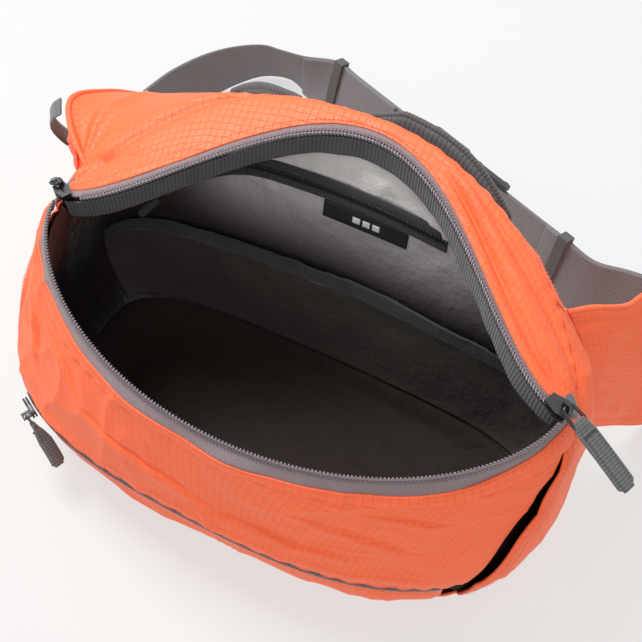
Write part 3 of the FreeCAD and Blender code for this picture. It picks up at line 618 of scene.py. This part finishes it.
def mouth_edge(first, second, a0, run):
    """A line beside the mouth: `first` away from it up to the angle a0, `second` away after a further run."""
    near, far = below_mouth(first), below_mouth(second)

    def edge(angle):
        share = np.clip((np.asarray(angle) - a0) / run, 0, 1)
        return near(angle) * (1 - share) + far(angle) * share
    return edge


mouth_seam = below_mouth(TAPE_WIDTH + 0.4)
# The cloth's edges beside the coil, which leave a strip of tape in sight.
front_mouth_edge = mouth_edge(9.5, 4.6, 322.0, 26.0)
back_mouth_edge = mouth_edge(3.2, 5.2, 62.0, 40.0)
pocket_side = 270.0 - POCKET_HALF_ANGLE
pocket_top = level_away(POCKET_ZIP_LEVEL, -3.0)
front_low = level_away(POCKET_ZIP_LEVEL, 1.6)


def front_and_back_cloth():
    dressed("front_pocket_cloth", *spread(pocket_side, 540 - pocket_side, 0.0, pocket_top, 200, 50), 0,
            ["front_pocket_panel"])
    dressed("front_corner_cloth_left", *spread(215.0, pocket_side - 0.2, 1.19, front_low, 16, 30), -0.1, [])
    share = np.repeat(np.linspace(0, 1, 300)[:, None], 140, 1)
    level = np.repeat(np.linspace(front_low, 4.93, 140)[None, :], 300, 0)
    right_edge = rows(HEM, level) - rows(FRONT_EDGE_RIGHT, level)
    left_edge = 540.0 - rows(HEM, level) + 0.3
    dressed("front_cloth", right_edge + (left_edge - right_edge) * share, level, 0, ["front_panel"], roll=0.3)
    dressed("front_mouth_cloth", *spread(181, 359, 4.94, front_mouth_edge, 320, 40), 0.9,
            ["front_mouth_band"], roll=0.2)
    dressed("top_cloth", *spread(1, 179, 4.94, back_mouth_edge, 320, 70), 0.9, ["top_panel"], roll=0.5)
    dressed("yoke_cloth", *spread(36.5, 143.5, 4.5, 4.93, 180, 40), 0, ["back_yoke"], roll=0.5)
    dressed("back_cloth", *spread(36.5, 143.5, 1.2, 4.49, 160, 100), 0, ["back_panel"], ruffle=0.6)


def side_cloth():
    for side, a0, a1 in (("right", 271 + POCKET_HALF_ANGLE, 449.8), ("left", 90.2, 269 - POCKET_HALF_ANGLE)):
        right = side == "right"
        dressed(f"lower_cloth_{side}", *spread(a0, a1, 0.0, 1.19, 180, 30), 0, [f"lower_band_{side}"],
                ruffle=0.7)
        angle, level, share = side_grid(right, lambda at: 0 * at)
        flare = HEM_FLARE * (1.0 if right else LEFT_SHUT)
        lift = flare * (1 - share) * np.maximum(pocket_climb(level), 0) ** 0.5
        dressed(f"side_pocket_cloth_{side}", angle, level, lift, [f"side_pocket_{side}"], ruffle=0.8)
        angle, level, share = side_grid(right, lambda at: rows(SLIT_WIDTH, at) - 0.5)
        sink = SIDE_WALL_SINK * (np.sin(np.pi * share) * np.maximum(pocket_climb(level), 0)).clip(0) ** 0.5
        dressed(f"side_wall_cloth_{side}", angle, level, -CLOTH - 0.4 - sink, [f"side_wall_{side}"],
                ruffle=0.0, thickness=LINING, material=SIDE_WALL_CLOTH)


def topstitch(name, angle, level, lift):
    finish_piece(stitches(name, off(angle, level, lift), outward(angle, level), ORANGE_THREAD))


def pocket_hems():
    """Stitched hems along the loose edges of the two side pockets."""
    for side, flare in (("right", HEM_FLARE), ("left", HEM_FLARE * LEFT_SHUT)):
        level = np.linspace(SIDE_POCKET_BOTTOM + 0.05, SIDE_TOP_LEVEL - 0.05, 120)
        swing = flare * pocket_climb(level) ** 0.5
        for row, back in enumerate((1.6, 4.2)):
            angle = turned(rows(HEM, level) + back, side == "right")
            lift = swing * (1 - back / 60) + wrinkle(angle, level, skin(angle, level)) * 0.8
            topstitch(f"hem_stitches_{side}_{row}", angle, level, lift + 0.25)
        angle = turned(rows(HEM, level) + 0.2, side == "right")
        lift = swing + wrinkle(angle, level, skin(angle, level)) * 0.8 - CLOTH / 2 - 0.5
        finish_piece(tube(f"hem_fold_{side}", off(angle, level, lift), 1.25, ORANGE))


def seam_stitches():
    """Topstitching beside the main seams."""
    for name, a0, a1, line, lift in (("mouth_front", 184, 356, lambda a: front_mouth_edge(a) - 0.1, 0.8),
                                     ("mouth_back", 6, 174, lambda a: back_mouth_edge(a) - 0.1, 0.8),
                                     ("pocket_seam", 226, 314, lambda a: front_low + 0.06 + 0 * a, 0.1),
                                     ("yoke_seam", 40, 140, lambda a: 4.56 + 0 * a, 0.1)):
        angle = np.linspace(a0, a1, 500)
        level = line(angle)
        topstitch(f"{name}_stitches", angle, level, wrinkle(angle, level, skin(angle, level)) + lift)


# ---- zips ----
def coil(name, path, across, normal, width, height, pitch, wire, material):
    """A nylon coil: one wire wound along a path, flattened across it."""
    run = length_along(path)
    at = np.linspace(0, run[-1], int(run[-1] / pitch * 12))
    phase = at / pitch * 2 * math.pi

    def spot(values):
        return np.stack([np.interp(at, run, values[:, k]) for k in range(3)], -1)
    side, up = normalized(spot(across)), normalized(spot(normal))
    swing = np.sign(np.cos(phase)) * np.abs(np.cos(phase)) ** 0.7 * (width - wire) / 2
    wound = spot(path) + side * swing[:, None] + up * (np.sin(phase) * (height - wire) / 2)[:, None]
    return tube(name, wound, wire / 2, material, 6)


def shell_path(angle, level, lift):
    return off(angle, level, lift), climb_at(angle, level), outward(angle, level)


def strip(name, angle, level, standoff, width, thickness, count, material, nodes):
    """A narrow tape centred on a line of angles and levels."""
    centre, climb, out = shell_path(angle, level, standoff)
    share = np.linspace(-0.5, 0.5, count)
    outer = centre[:, None] + climb[:, None] * (share * width)[None, :, None]
    finish_piece(two_sided(name, outer, outer - out[:, None] * thickness, material), nodes)


def main_zip():
    for name, a0, a1, c0, c1 in (("front", 181.0, 359.0, 186.0, 354.0), ("back", 1.0, 179.0, 24.0, 156.0)):
        angle, level = spread(a0, a1, below_mouth(TAPE_WIDTH), float(TOP), 260, 16)
        base = skin(angle, level)
        lift = 0.25 * noise_at(base, (18, 18, 18), 4.0) + wrinkle(angle, level, base) - 0.5
        laid(f"zip_tape_{name}_woven", angle, level, lift, TAPE, ZIP_TAPE, [f"zip_tape_{name}"])
        path, climb, out = shell_path(np.linspace(c0, c1, 700), np.full(700, float(TOP)), -TAPE / 2)
        path = path + climb * (0.2 + COIL_WIDTH / 2)
        piece = coil(f"zip_coil_{name}", path, climb, out, COIL_WIDTH, COIL_HEIGHT, COIL_PITCH, 1.15, TEETH)
        finish_piece(piece, [f"zip_teeth_{name}"])
        ridge = path - climb * (COIL_WIDTH / 2 + 1.2) + out * 0.75
        finish_piece(stitches(f"coil_stitches_{name}", ridge, out, TEETH, 2.3, 1.7, 0.6))
        finish_piece(tube(f"coil_core_{name}", path - climb * 0.1, 0.7, ZIP_TAPE, 6))
    for side, first, last in (("right", 3.0, 16.0), ("left", 164.0, 177.0)):
        angle, level = spread(first, last, below_mouth(TAPE_WIDTH + 7.0), below_mouth(1.0), 40, 30)
        lift = 3.0 + seam_roll(skin(angle, level), 1.2, 1.6)
        laid(f"end_patch_{side}", angle, level, lift, 1.2, GREY_WEBBING, [f"zip_end_patch_{side}"],
             "zip_tape")


def pocket_zip():
    angle = np.linspace(pocket_side + 0.5, 539.5 - pocket_side, 300)
    level = np.full(300, POCKET_ZIP_LEVEL)
    strip("pocket_tape", angle, level, -CLOTH + TAPE, 12.0, TAPE, 12, ZIP_TAPE, ["pocket_zip_tape"])
    path, climb, out = shell_path(angle, level, 0.4)
    finish_piece(coil("pocket_coil", path, climb, out, 4.4, 2.0, 2.0, 0.9, TEETH), ["pocket_zip_teeth"])


# ---- the lining ----
def lining_depth(angle, share):
    """How far inside the shell the lining is, from its foot at share 0 to its top at 1."""
    sideways = np.abs(np.cos(np.radians(angle)))
    return LINING_INSET + LINING_SIDE_SINK * sideways * np.sin(np.pi * share).clip(0) ** 0.5


def ridges(points, scale, seed, sharp):
    """Narrow ridges of cloth, 0..1, along the lines where smooth noise changes sign."""
    return np.clip(1 - np.abs(noise_at(points, scale, seed)) * sharp, 0, 1)


def lining():
    for name, a0, a1, top, cloth in (("front", 179.8, 360.2, below_mouth(TAPE_WIDTH + 1.5), LINING_CLOTH),
                                     ("back", 0.0, 180.0, LINING_CREST_LEVEL, BACK_LINING)):
        angle, level = spread(a0, a1, 0.2, top, 220, 110)
        share = np.linspace(0, 1, 110)[None, :]
        base = skin(angle, level)
        folds = ridges(base, (30, 30, 90), 8.0, 2.0) ** 3 * 3.4
        folds += ridges(base, (90, 60, 26), 21.0, 2.2) ** 3 * 2.6
        folds += 2.0 * np.abs(noise_at(base, (46, 46, 46), 12.0))
        folds = folds * np.sin(np.pi * share) ** 0.5
        if name == "back":
            folds = folds * np.clip(level - 3.0, 0.0, 0.7) * np.clip((4.35 - level) / 0.3, 0, 1)
        laid(f"lining_{name}_cloth", angle, level, -(lining_depth(angle, share) + folds), LINING, cloth,
             [f"lining_{name}"])
    angle, level = spread(4, 176, LINING_CREST_LEVEL, below_mouth(TAPE_WIDTH + 1.5), 200, 40)
    lift = wrinkle(angle, level, skin(angle, level)) - CLOTH - 0.4
    laid("lining_crest_cloth", angle, level, lift, LINING, BACK_LINING, ["lining_crest"])


def smoothstep(value):
    value = np.clip(value, 0, 1)
    return value * value * (3 - 2 * value)


def plate(name, rim, z0, z1, material, node, wave=0.0, edge=0.9):
    """A floor of cloth inside a closed rim: flat in the middle, and from the share `edge` on up to it."""
    share = np.concatenate([np.linspace(1, 0.8, 20), np.linspace(0.78, 0.001, 30)])[None, :, None]
    centre = np.array([0.0, CENTRE_Y, 0.0])
    top = centre + (rim[:, None] - centre) * share
    rise = smoothstep((share[..., 0] - edge) / (1 - edge))
    climb = (rim[:, None, 2] - z1) * rise
    top[..., 2] = z1 + wave * np.abs(noise_at(top, (50, 50, 50), 1.0)) * (1 - rise) + climb
    bottom = top.copy()
    bottom[..., 2] = np.minimum(top[..., 2] - 0.8, z0 + climb)
    finish_piece(two_sided(name, top, bottom, material), [node])


def floors():
    angle = np.linspace(0, 360, 161)
    rim = off(angle, 0.0, 0.0)
    rim[:, 2] = 2.6
    plate("base_cloth", rim, 0.0, 2.6, ORANGE, "base_panel")
    rim = off(angle, 0.7, -lining_depth(angle, 0.11) - LINING - 0.7)
    plate("lining_base_cloth", rim, 3.4, 4.6, LINING_CLOTH, "lining_base", 3.0, 0.8)


def slip_grid(low, high, near, far, count):
    """The slip pocket's face between two levels: it bows from `near` to `far` in front of the lining."""
    share = np.linspace(0, 1, 160)[:, None]
    climb = np.linspace(0, 1, count)[None, :]
    angle = 31.0 + 118.0 * share + 0 * climb
    level = low + (high - low) * climb + 0 * share
    level = level - 0.22 * (1 - np.sin(np.pi * share)) * np.minimum(1.0, level - 0.9)
    bow = np.sin(np.pi * share) ** 0.5
    base = skin(angle, level)
    ripple = 1.8 * noise_at(base, (24, 24, 44), 31.0) * bow ** 2 * climb
    ripple += 1.2 * ridges(base, (22, 60, 40), 3.0, 2.4) ** 2 * bow * climb ** 2
    depth = lining_depth(angle, (level - 0.2) / (LINING_CREST_LEVEL - 0.2))
    return angle, level, -depth - LINING - 0.6 - (near + (far - near) * climb) * bow + ripple


def inside_pocket():
    laid("slip_pocket_cloth", *slip_grid(0.9, 2.5, 1.0, 7.0, 50), 1.0, DARK_LINING, ["slip_pocket"])
    laid("slip_pocket_tape", *slip_grid(2.505, 2.7, 7.0, 7.4, 10), 1.6, BLACK_TAPE, ["slip_pocket_binding"])
    in_front = -LINING_INSET - LINING
    angle, level = spread(79.5, 98.0, 3.37, 3.58, 40, 20)
    lift = in_front - 3.6 - seam_roll(skin(angle, level), 0.5, 1.2)
    laid("label_patch", angle, level, lift, -1.4, RUBBER, ["label"])
    for k in range(3):
        angle, level = spread(85.6 + 2.2 * k, 87.2 + 2.2 * k, 3.44, 3.51, 8, 6)
        laid(f"label_mark_{k}", angle, level, in_front - 4.1, -0.5, LABEL_MARK)


def hanging_tapes():
    """The ribbed binding that hangs inside the mouth's back half, and the tape over the back seam."""
    angle = 14.0 + 152.0 * np.linspace(0, 1, 220)
    start = off(angle, float(TOP), -2.0) + climb_at(angle, float(TOP)) * (COIL_WIDTH - 0.5)
    away = outward(angle, 3.0)
    away[:, 2] = 0
    wave = 1.2 * noise_at(start, (14, 14, 14), 7.0)[:, None]
    low = start - away * 2.0 - np.array([0, 0, 14.0]) + away * wave
    high = start - np.array([0, 0, 1.0])
    outer = between(low, high, np.linspace(0, 1, 14))
    finish_piece(two_sided("mouth_tape", outer, outer + away[:, None] * 1.2, GROSGRAIN), ["mouth_binding"])
    strip("seam_tape", np.linspace(62, 100, 80), 4.42, -6.5, 9.0, 1.4, 8, GROSGRAIN, ["back_seam_binding"])


INNER_ZIP = [(-146, 52, 143), (-120, 71, 159), (-88, 83.5, 172), (-40, 86, 178), (10, 86, 179), (62, 85, 175)]


def inner_zip():
    path = smooth_path(INNER_ZIP, 200)
    rise = np.array([0, 0.26, 0.96])
    tangent = normalized(np.gradient(path, axis=0))
    front = normalized(np.cross(tangent, rise))
    share = np.linspace(-1, 1, 14)
    puff = 0.8 * np.exp(-((np.abs(share) - 0.6) / 0.25) ** 2)
    middle = path[:, None] + rise * (share * 8.0)[None, :, None]
    outer = middle + front[:, None] * (0.5 + puff)[None, :, None]
    inner = middle - front[:, None] * 0.6
    finish_piece(two_sided("inner_tape", outer, inner, BLACK_TAPE), ["inner_zip_tape"])
    across = np.broadcast_to(rise, path.shape)
    piece = coil("inner_coil", path + front * 1.4, across, front, 4.4, 1.8, 1.9, 0.85, BLACK_COIL)
    finish_piece(piece, ["inner_zip_teeth"])


# ---- padded wings ----
ROOT_STANDOFF = 7.5
# Each wing: the angles and levels of its root's lower and upper corners, the points of its lower and
# upper edges from there out, and its thickness.
WINGS = {
    "right": ((41, 1.95), (44, 3.85), [(196, 106, 26), (215, 131, 5), (250, 166, 3), (296, 190, 3)],
              [(176, 113, 147), (186, 141, 134), (226, 176, 104), (292, 192, 54)], 14.0),
    "left": ((148, 2.0), (162, 5.0), [(-217, 84, 34), (-229, 116, 9), (-241, 160, 3), (-250, 205, 3)],
             [(-220, 72, 180), (-221, 112, 154), (-220, 156, 112), (-262, 205, 54)], 13.0),
}


def wing_edge(corner, points, count):
    root = off(float(corner[0]), float(corner[1]), ROOT_STANDOFF)
    return smooth_path([tuple(root.tolist())] + points, count)


def wing(side):
    root_low, root_high, lower_points, upper_points, thick = WINGS[side]
    lower, upper = wing_edge(root_low, lower_points, 110), wing_edge(root_high, upper_points, 110)
    along = normalized(np.gradient((lower + upper) / 2, axis=0))
    normal = normalized(np.cross(along, upper - lower))
    u = np.linspace(0, 1, 110)[:, None]
    w = np.linspace(0, 1, 60)[None, :]
    swell = np.sin(np.pi * w) ** 0.5 * np.sin(np.pi * np.minimum(1, 0.02 + u * 0.98)).clip(0) ** 0.5
    half = (3.0 + (thick - 3.0) * swell) / 2
    middle = between(lower, upper, w[0])
    root_angle = root_low[0] + (root_high[0] - root_low[0]) * w[0]
    root_level = root_low[1] + (root_high[1] - root_low[1]) * w[0]
    sewn = off(root_angle, root_level, ROOT_STANDOFF)
    middle = middle + (sewn - middle[0])[None] * ((1 - u) ** 4)[..., None]
    middle = middle - outward(root_angle, root_level)[None] * (6.0 * np.exp(-(u / 0.05) ** 2))[..., None]
    puckers = np.sin(w * 46 + 4 * u) * np.exp(-u / 0.14) * 1.1
    creases = 2.6 * ridges(middle, (24, 50, 50), 14.0, 1.9) ** 2
    soft = 2.4 * noise_at(middle, (34, 34, 34), 4.4)
    rough = (puckers + creases + soft) * np.minimum(1, np.sin(np.pi * w).clip(0) * 3)
    seam = -1.1 * bump_line(w, 0.08, 0.02) - 1.1 * bump_line(w, 0.92, 0.02)
    outer = middle - normal[:, None] * (half + rough + seam)[..., None]
    inner = middle + normal[:, None] * (half + 0.5 * rough + seam)[..., None]
    piece = finish_piece(two_sided(f"wing_{side}_quilt", outer, inner, ORANGE), [f"wing_{side}"])
    out = -normal[8:104]
    for k, j in enumerate((4, 55)):
        path = outer[8:104, j] + out * 0.35
        finish_piece(stitches(f"wing_{side}_stitches_{k}", path, out, ORANGE_THREAD))
    for k, j in enumerate((0, 59)):
        finish_piece(tube(f"wing_{side}_edge_{k}", (outer[:, j] + inner[:, j]) / 2, 2.0, ORANGE, 8))


def wing_gusset():
    """The loose cloth between the left wing's upper edge and the top panel's crest."""
    count = 90
    shell_edge = off(np.linspace(166, 121, count), 4.97, 1.2)
    edge = wing_edge(WINGS["left"][1], WINGS["left"][3], 160)[:count]
    share = np.linspace(0, 1, 46)[None, :]
    grid = between(shell_edge, edge, share[0])
    along = np.linspace(0, 1, count)[:, None]
    bulge = np.sin(np.pi * share)
    sag = 9.0 * bulge * np.sin(np.pi * along ** 0.7) ** 1.2
    fold = 5.0 * bump_line(share, 0.25 + 0.5 * along, 0.1) * np.sin(np.pi * along)
    grid[..., 2] += fold + 1.6 * noise_at(grid, (30, 30, 30), 13.0) * bulge - sag * 0.6
    under = grid - np.array([0, 0, CLOTH])
    finish_piece(two_sided("wing_gusset_left", grid, under, ORANGE))


# ---- webbing ----
STRAIGHT_SLOPE = -0.37
STRAIGHT_Y = 250.0
STRAIGHT_CLEARANCE = 7.4
LEAN = 15.0
BELT_STEPS = 260


def on_straight(x):
    return (x, STRAIGHT_Y + STRAIGHT_SLOPE * x, STRAIGHT_CLEARANCE, LEAN)


# Each belt's foot: x, y, z and its lean in degrees.
LEFT_ROWS = [(-255, 207, 3.0, 14), (-252, 240, 1.5, 9), (-242, 270, 1.5, 3), (-230, 296, 1.5, -7),
             (-213, 317, 1.5, -15), (-190, 324, 1.5, -18), (-166, 314, 1.5, -6),
             on_straight(-140), on_straight(-120), on_straight(-90), on_straight(-52)]
RIGHT_ROWS = [on_straight(33), on_straight(60), on_straight(85), on_straight(105),
              (132, 202.5, 1.8, 20), (162, 203, 1.5, 26), (200, 211, 1.5, 20), (245, 228, 1.5, 10),
              (285, 241, 1.5, 3), (312, 240, 1.5, 0), (330, 225, 1.5, 0),
              (330, 204, 2.0, 0), (316, 194, 2.5, 0), (300, 191, 3.0, 2)]


def belt_edges(table):
    """The lower and upper edges of a belt standing on its edge."""
    lower, upper = [], []
    for i, (x, y, z, lean) in enumerate(table):
        before, after = table[max(0, i - 1)], table[min(len(table) - 1, i + 1)]
        along = normalized(np.array([after[0] - before[0], after[1] - before[1], 0.0]))
        out = np.array([-along[1], along[0], 0.0])
        tilt = math.radians(lean)
        foot = np.array([x, y, z], float)
        lower.append(foot)
        upper.append(foot + (np.array([0, 0, 1.0]) * math.cos(tilt) + out * math.sin(tilt)) * WEBBING_WIDTH)
    return smooth_path(lower, BELT_STEPS), smooth_path(upper, BELT_STEPS)


def band(name, lower, upper, thickness, material, nodes, body=SHELL, offset=0.0, wave=0.5):
    """Flat webbing between two edge curves, rounded along its selvedges."""
    along = normalized(np.gradient((lower + upper) / 2, axis=0))
    normal = normalized(np.cross(along, upper - lower))
    share = np.linspace(0, 1, 26)
    lip = np.minimum(share, 1 - share) * np.linalg.norm(upper[0] - lower[0])
    half = thickness / 2 * (0.45 + 0.55 * np.minimum(1, lip / 1.4)) + 0.18 * bump_line(lip, 2.4, 1.0)
    middle = between(lower, upper, share)
    ripple = wave * noise_at(middle, (50, 50, 30), 6.6)[..., None]
    middle = middle + normal[:, None] * (offset + ripple)
    outer = middle - normal[:, None] * half[None, :, None]
    inner = middle + normal[:, None] * half[None, :, None]
    return finish_piece(two_sided(name, outer, inner, material), nodes, body=body)


def belts():
    """Both belts, and the doubled tail behind a stretch of each."""
    for side, table, first, last in (("left", LEFT_ROWS, 0.56, 0.93), ("right", RIGHT_ROWS, 0.16, 0.42)):
        lower, upper = belt_edges(table)
        band(f"belt_{side}_webbing", lower, upper, WEBBING, BELT_WEBBING, [f"belt_{side}"])
        tail = slice(int(first * BELT_STEPS), int(last * BELT_STEPS))
        band(f"belt_tail_{side}_webbing", lower[tail], upper[tail], WEBBING, BELT_WEBBING,
             [f"belt_tail_{side}"], offset=WEBBING + 0.4)


def arch(name, points, width, thickness, body, nodes):
    path = smooth_path(points, 70)
    half = np.array(width, float) / 2
    return band(name, path - half, path + half, thickness, GREY_WEBBING, nodes, body, wave=0.2)


def loops():
    first, last = [off(angle, 4.62, 9.0) for angle in (123.0, 109.0)]
    rise = [(8, 5, 4), (17, 8, 7), (27, 9, 8.5), (36, 9, 8.5), (43, 9, 8.5)]
    points = [first] + [first + np.array(step, float) for step in rise] + [last]
    arch("grab_handle_webbing", points, (0, 8, 8), 2.0, "grab_handle", ["grab_handle"])
    points = [(-224, 66, 178), (-233, 66, 168), (-238, 68, 154), (-233, 71, 141), (-226, 74, 134)]
    arch("wing_loop_webbing", points, (-8, 12, 2), 1.6, SHELL, ["wing_loop_left"])


def lumbar_pad():
    share = np.repeat(np.linspace(0, 1, 110)[:, None], 100, 1)
    climb = np.repeat(np.linspace(0, 1, 100)[None, :], 110, 0)
    corner = np.abs(2 * share - 1) ** 4
    low, high = 1.5 + 0.5 * corner, 4.93 - 0.6 * corner - 1.7 * np.maximum(0, share - 0.45)
    angle, level = 62.0 + 56.0 * share, low + (high - low) * climb
    edge = np.minimum(np.minimum(share, 1 - share) * 110, np.minimum(climb, 1 - climb) * 160)
    crown = np.sqrt(np.clip(edge / 12, 0, 1))
    channel = bump_line(np.mod(climb * 5, 1), 0.5, 0.07) * crown
    right = np.clip(1 - share * 1.6, 0, 1)
    outer = off(angle, level, 10.5 + 8.0 * crown - 3.0 * channel + 2.0 * right)
    inner = off(angle, level, 4.0 + 4.0 * (1 - crown))
    piece = finish_piece(two_sided("lumbar_pad_mesh", outer, inner, PAD_RIBS), ["lumbar_pad"])
    rim = np.concatenate([outer[:, 0], outer[-1, 1:], outer[::-1, -1][1:], outer[0, ::-1][1:]])
    finish_piece(tube("lumbar_pad_binding", rim, 2.0, GROSGRAIN, 8))


# ---- zip pulls ----
# Each pull: its body, its pin, the way it hangs and the way its face looks.
MAIN_RIGHT_PULL = ("main_right_pull", (173.94, -4.05, 192.9), (0.86, -0.3, -0.41), (0.387, -0.135, 0.912))
MAIN_LEFT_PULL = ("main_left_pull", (-174.89, -1.12, 191.7), (-0.75, 0.36, -0.55), (-0.49, 0.235, 0.83))
POCKET_PULL = ("pocket_pull", (-161.96, -99.91, 56.22), (0.8, -0.2, -0.56),
               tuple(outward(np.array(225.0), np.array(POCKET_ZIP_LEVEL))))


def pull_frame(along, up):
    along, up = normalized(np.array(along, float)), normalized(np.array(up, float))
    return along, up, np.cross(up, along)


def pull_tab(pull, x0, x1, width, thick, droop, twist=0.0):
    """Folded webbing on a pull ring, with two rows of stitches and a bar; it droops and may twist."""
    body, pin, along, up = pull
    along, up, side = pull_frame(along, up)
    name = f"{body}_tab_webbing"
    at = np.linspace(x0, x1, 60)
    share = (at - x0) / (x1 - x0)
    taper = np.minimum(1, 0.72 + share * 1.6) * np.sqrt(np.clip((1 - share) * 14, 0.4, 1))
    centre = np.array(pin) + along * at[:, None] - up * (droop * share ** 2)[:, None]
    turn = np.radians(twist) * np.clip(share * 2.2, 0, 1)[:, None]
    side, up = side * np.cos(turn) + up * np.sin(turn), up * np.cos(turn) - side * np.sin(turn)
    across = np.linspace(-1, 1, 16)
    lip = np.sqrt(np.clip(1 - np.abs(across) ** 6, 0.05, 1))
    waist = 1 - 0.3 * bump_line(share, 0.16, 0.05)
    half = up[:, None] * ((thick / 2 * waist)[:, None] * lip[None, :])[..., None]
    middle = centre[:, None] + side[:, None] * (across[None, :, None] * (width / 2) * taper[:, None, None])
    finish_piece(two_sided(name, middle + half, middle - half, GREY_WEBBING), [f"{body}_tab"], body=body)
    for k, spot in enumerate((-0.7, 0.7)):
        path = centre + side * (width / 2 * spot) * taper[:, None] + up * thick / 2 * lip[2]
        rows_of = stitches(f"{name}_stitches_{k}", path[10:56], up[10:56], BLACK_TAPE, 2.4, 1.7, 0.6)
        finish_piece(rows_of, (), body)
    bar = np.linspace(-0.38 * width, 0.38 * width, 12)[:, None]
    bar = centre[12] + side[12] * bar + up[12] * thick * 0.42
    finish_piece(tube(f"{name}_bartack", bar, 1.1, BLACK_TAPE, 6), (), body)


def wire_ring(pull, length, width, wire):
    """A bent wire pull: a rounded loop that narrows towards the slider."""
    body, pin, along, up = pull
    along, up, side = pull_frame(along, up)
    turn = np.linspace(0, 2 * math.pi, 90)
    reach = (np.abs(np.cos(turn)) ** 3.6 + np.abs(np.sin(turn)) ** 3.6) ** (-1 / 3.6)
    x = length / 2 + (length / 2) * reach * np.cos(turn)
    y = (width / 2) * reach * np.sin(turn) * (0.7 + 0.3 * x / length)
    path = np.array(pin) + along * x[:, None] + side * y[:, None]
    piece = tube(f"{body}_ring_wire", path, wire / 2, GUNMETAL, 12, across=up)
    finish_piece(piece, [f"{body}_ring"], body=body)


def pulls():
    wire_ring(MAIN_RIGHT_PULL, 14.0, 10.4, 2.2)
    wire_ring(MAIN_LEFT_PULL, 10.0, 7.4, 1.9)
    pull_tab(MAIN_RIGHT_PULL, 9.8, 58.0, 13.0, 3.6, 2.5)
    pull_tab(POCKET_PULL, 6.0, 42.0, 12.0, 3.2, -4.0, twist=52.0)


CAD_SHAPES = {
    "main_right_slider": GUNMETAL, "main_left_slider": GUNMETAL, "main_left_pull_tab": GREY_WEBBING,
    "pocket_slider": PLASTIC, "pocket_pull_ring": PLASTIC, "inner_slider": BLACK_COIL,
    "inner_pull_ring": BLACK_COIL, "inner_pull_tab": BLACK_TAPE, "buckle_female": PLASTIC,
    "buckle_male": PLASTIC, "belt_end_loop": BELT_WEBBING, "keeper_left": GROSGRAIN,
    "keeper_right": GROSGRAIN,
}


def dressed_nodes():
    """CAD pieces whose own shape is right: they get rounded edges and their material."""
    for node, material in CAD_SHAPES.items():
        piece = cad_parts[node]
        piece.data.materials.clear()
        piece.data.materials.append(material)
        bevel = piece.modifiers.new("rounded", "BEVEL")
        bevel.width = 0.0005
        bevel.segments = 2
        bevel.limit_method = "ANGLE"


# ---- scene ----
def camera():
    data = bpy.data.cameras.new("camera")
    data.lens = 67.3
    data.sensor_width = 36.0
    seen = bpy.data.objects.new("camera", data)
    seen.location = (0.2167, -0.3746, 0.7715)
    seen.rotation_euler = Vector((-0.2715, 0.5053, -0.8192)).to_track_quat("-Z", "Y").to_euler()
    bpy.context.scene.collection.objects.link(seen)
    bpy.context.scene.camera = seen


def area_light(name, place, aim, size, power):
    data = bpy.data.lights.new(name, "AREA")
    data.size = size
    data.energy = power
    lamp = bpy.data.objects.new(name, data)
    lamp.location = place
    lamp.rotation_euler = (Vector(aim) - Vector(place)).to_track_quat("-Z", "Y").to_euler()
    bpy.context.scene.collection.objects.link(lamp)


FLOOR_HALF = 3000.0
FLOOR_LEVEL = -0.3


def studio():
    white = Shader("studio_floor", (0.19, 0.19, 0.19), 0.8, Emission_Color=(1.0, 0.995, 0.985, 1.0),
                   Emission_Strength=0.62)
    white.tint(white.noise(3.0), (0.18, 0.18, 0.18), 0.0, 0.3)
    corners = [(x * FLOOR_HALF, y * FLOOR_HALF, FLOOR_LEVEL) for x, y in ((-1, -1), (1, -1), (1, 1), (-1, 1))]
    add_mesh("studio_floor", corners, [(0, 1, 2, 3)], white.material, np.zeros((4, 2)))
    world = bpy.data.worlds.new("studio")
    bpy.context.scene.world = world
    world.use_nodes = True
    world.node_tree.nodes["Background"].inputs["Color"].default_value = (1.0, 0.99, 0.97, 1)
    world.node_tree.nodes["Background"].inputs["Strength"].default_value = 0.55
    area_light("key", (-0.75, 0.15, 1.5), (0, 0.03, 0.15), 0.6, 26)
    area_light("fill", (0.9, -1.5, 1.5), (0, 0, 0.1), 1.6, 12)
    area_light("rim", (0.3, 1.7, 1.3), (0, 0.1, 0.1), 1.4, 10)
    bpy.context.scene.view_settings.view_transform = "Standard"


camera()
studio()
front_and_back_cloth()
side_cloth()
pocket_hems()
seam_stitches()
main_zip()
pocket_zip()
lining()
floors()
inside_pocket()
hanging_tapes()
inner_zip()
wing("right")
wing("left")
wing_gusset()
belts()
loops()
lumbar_pad()
pulls()
dressed_nodes()
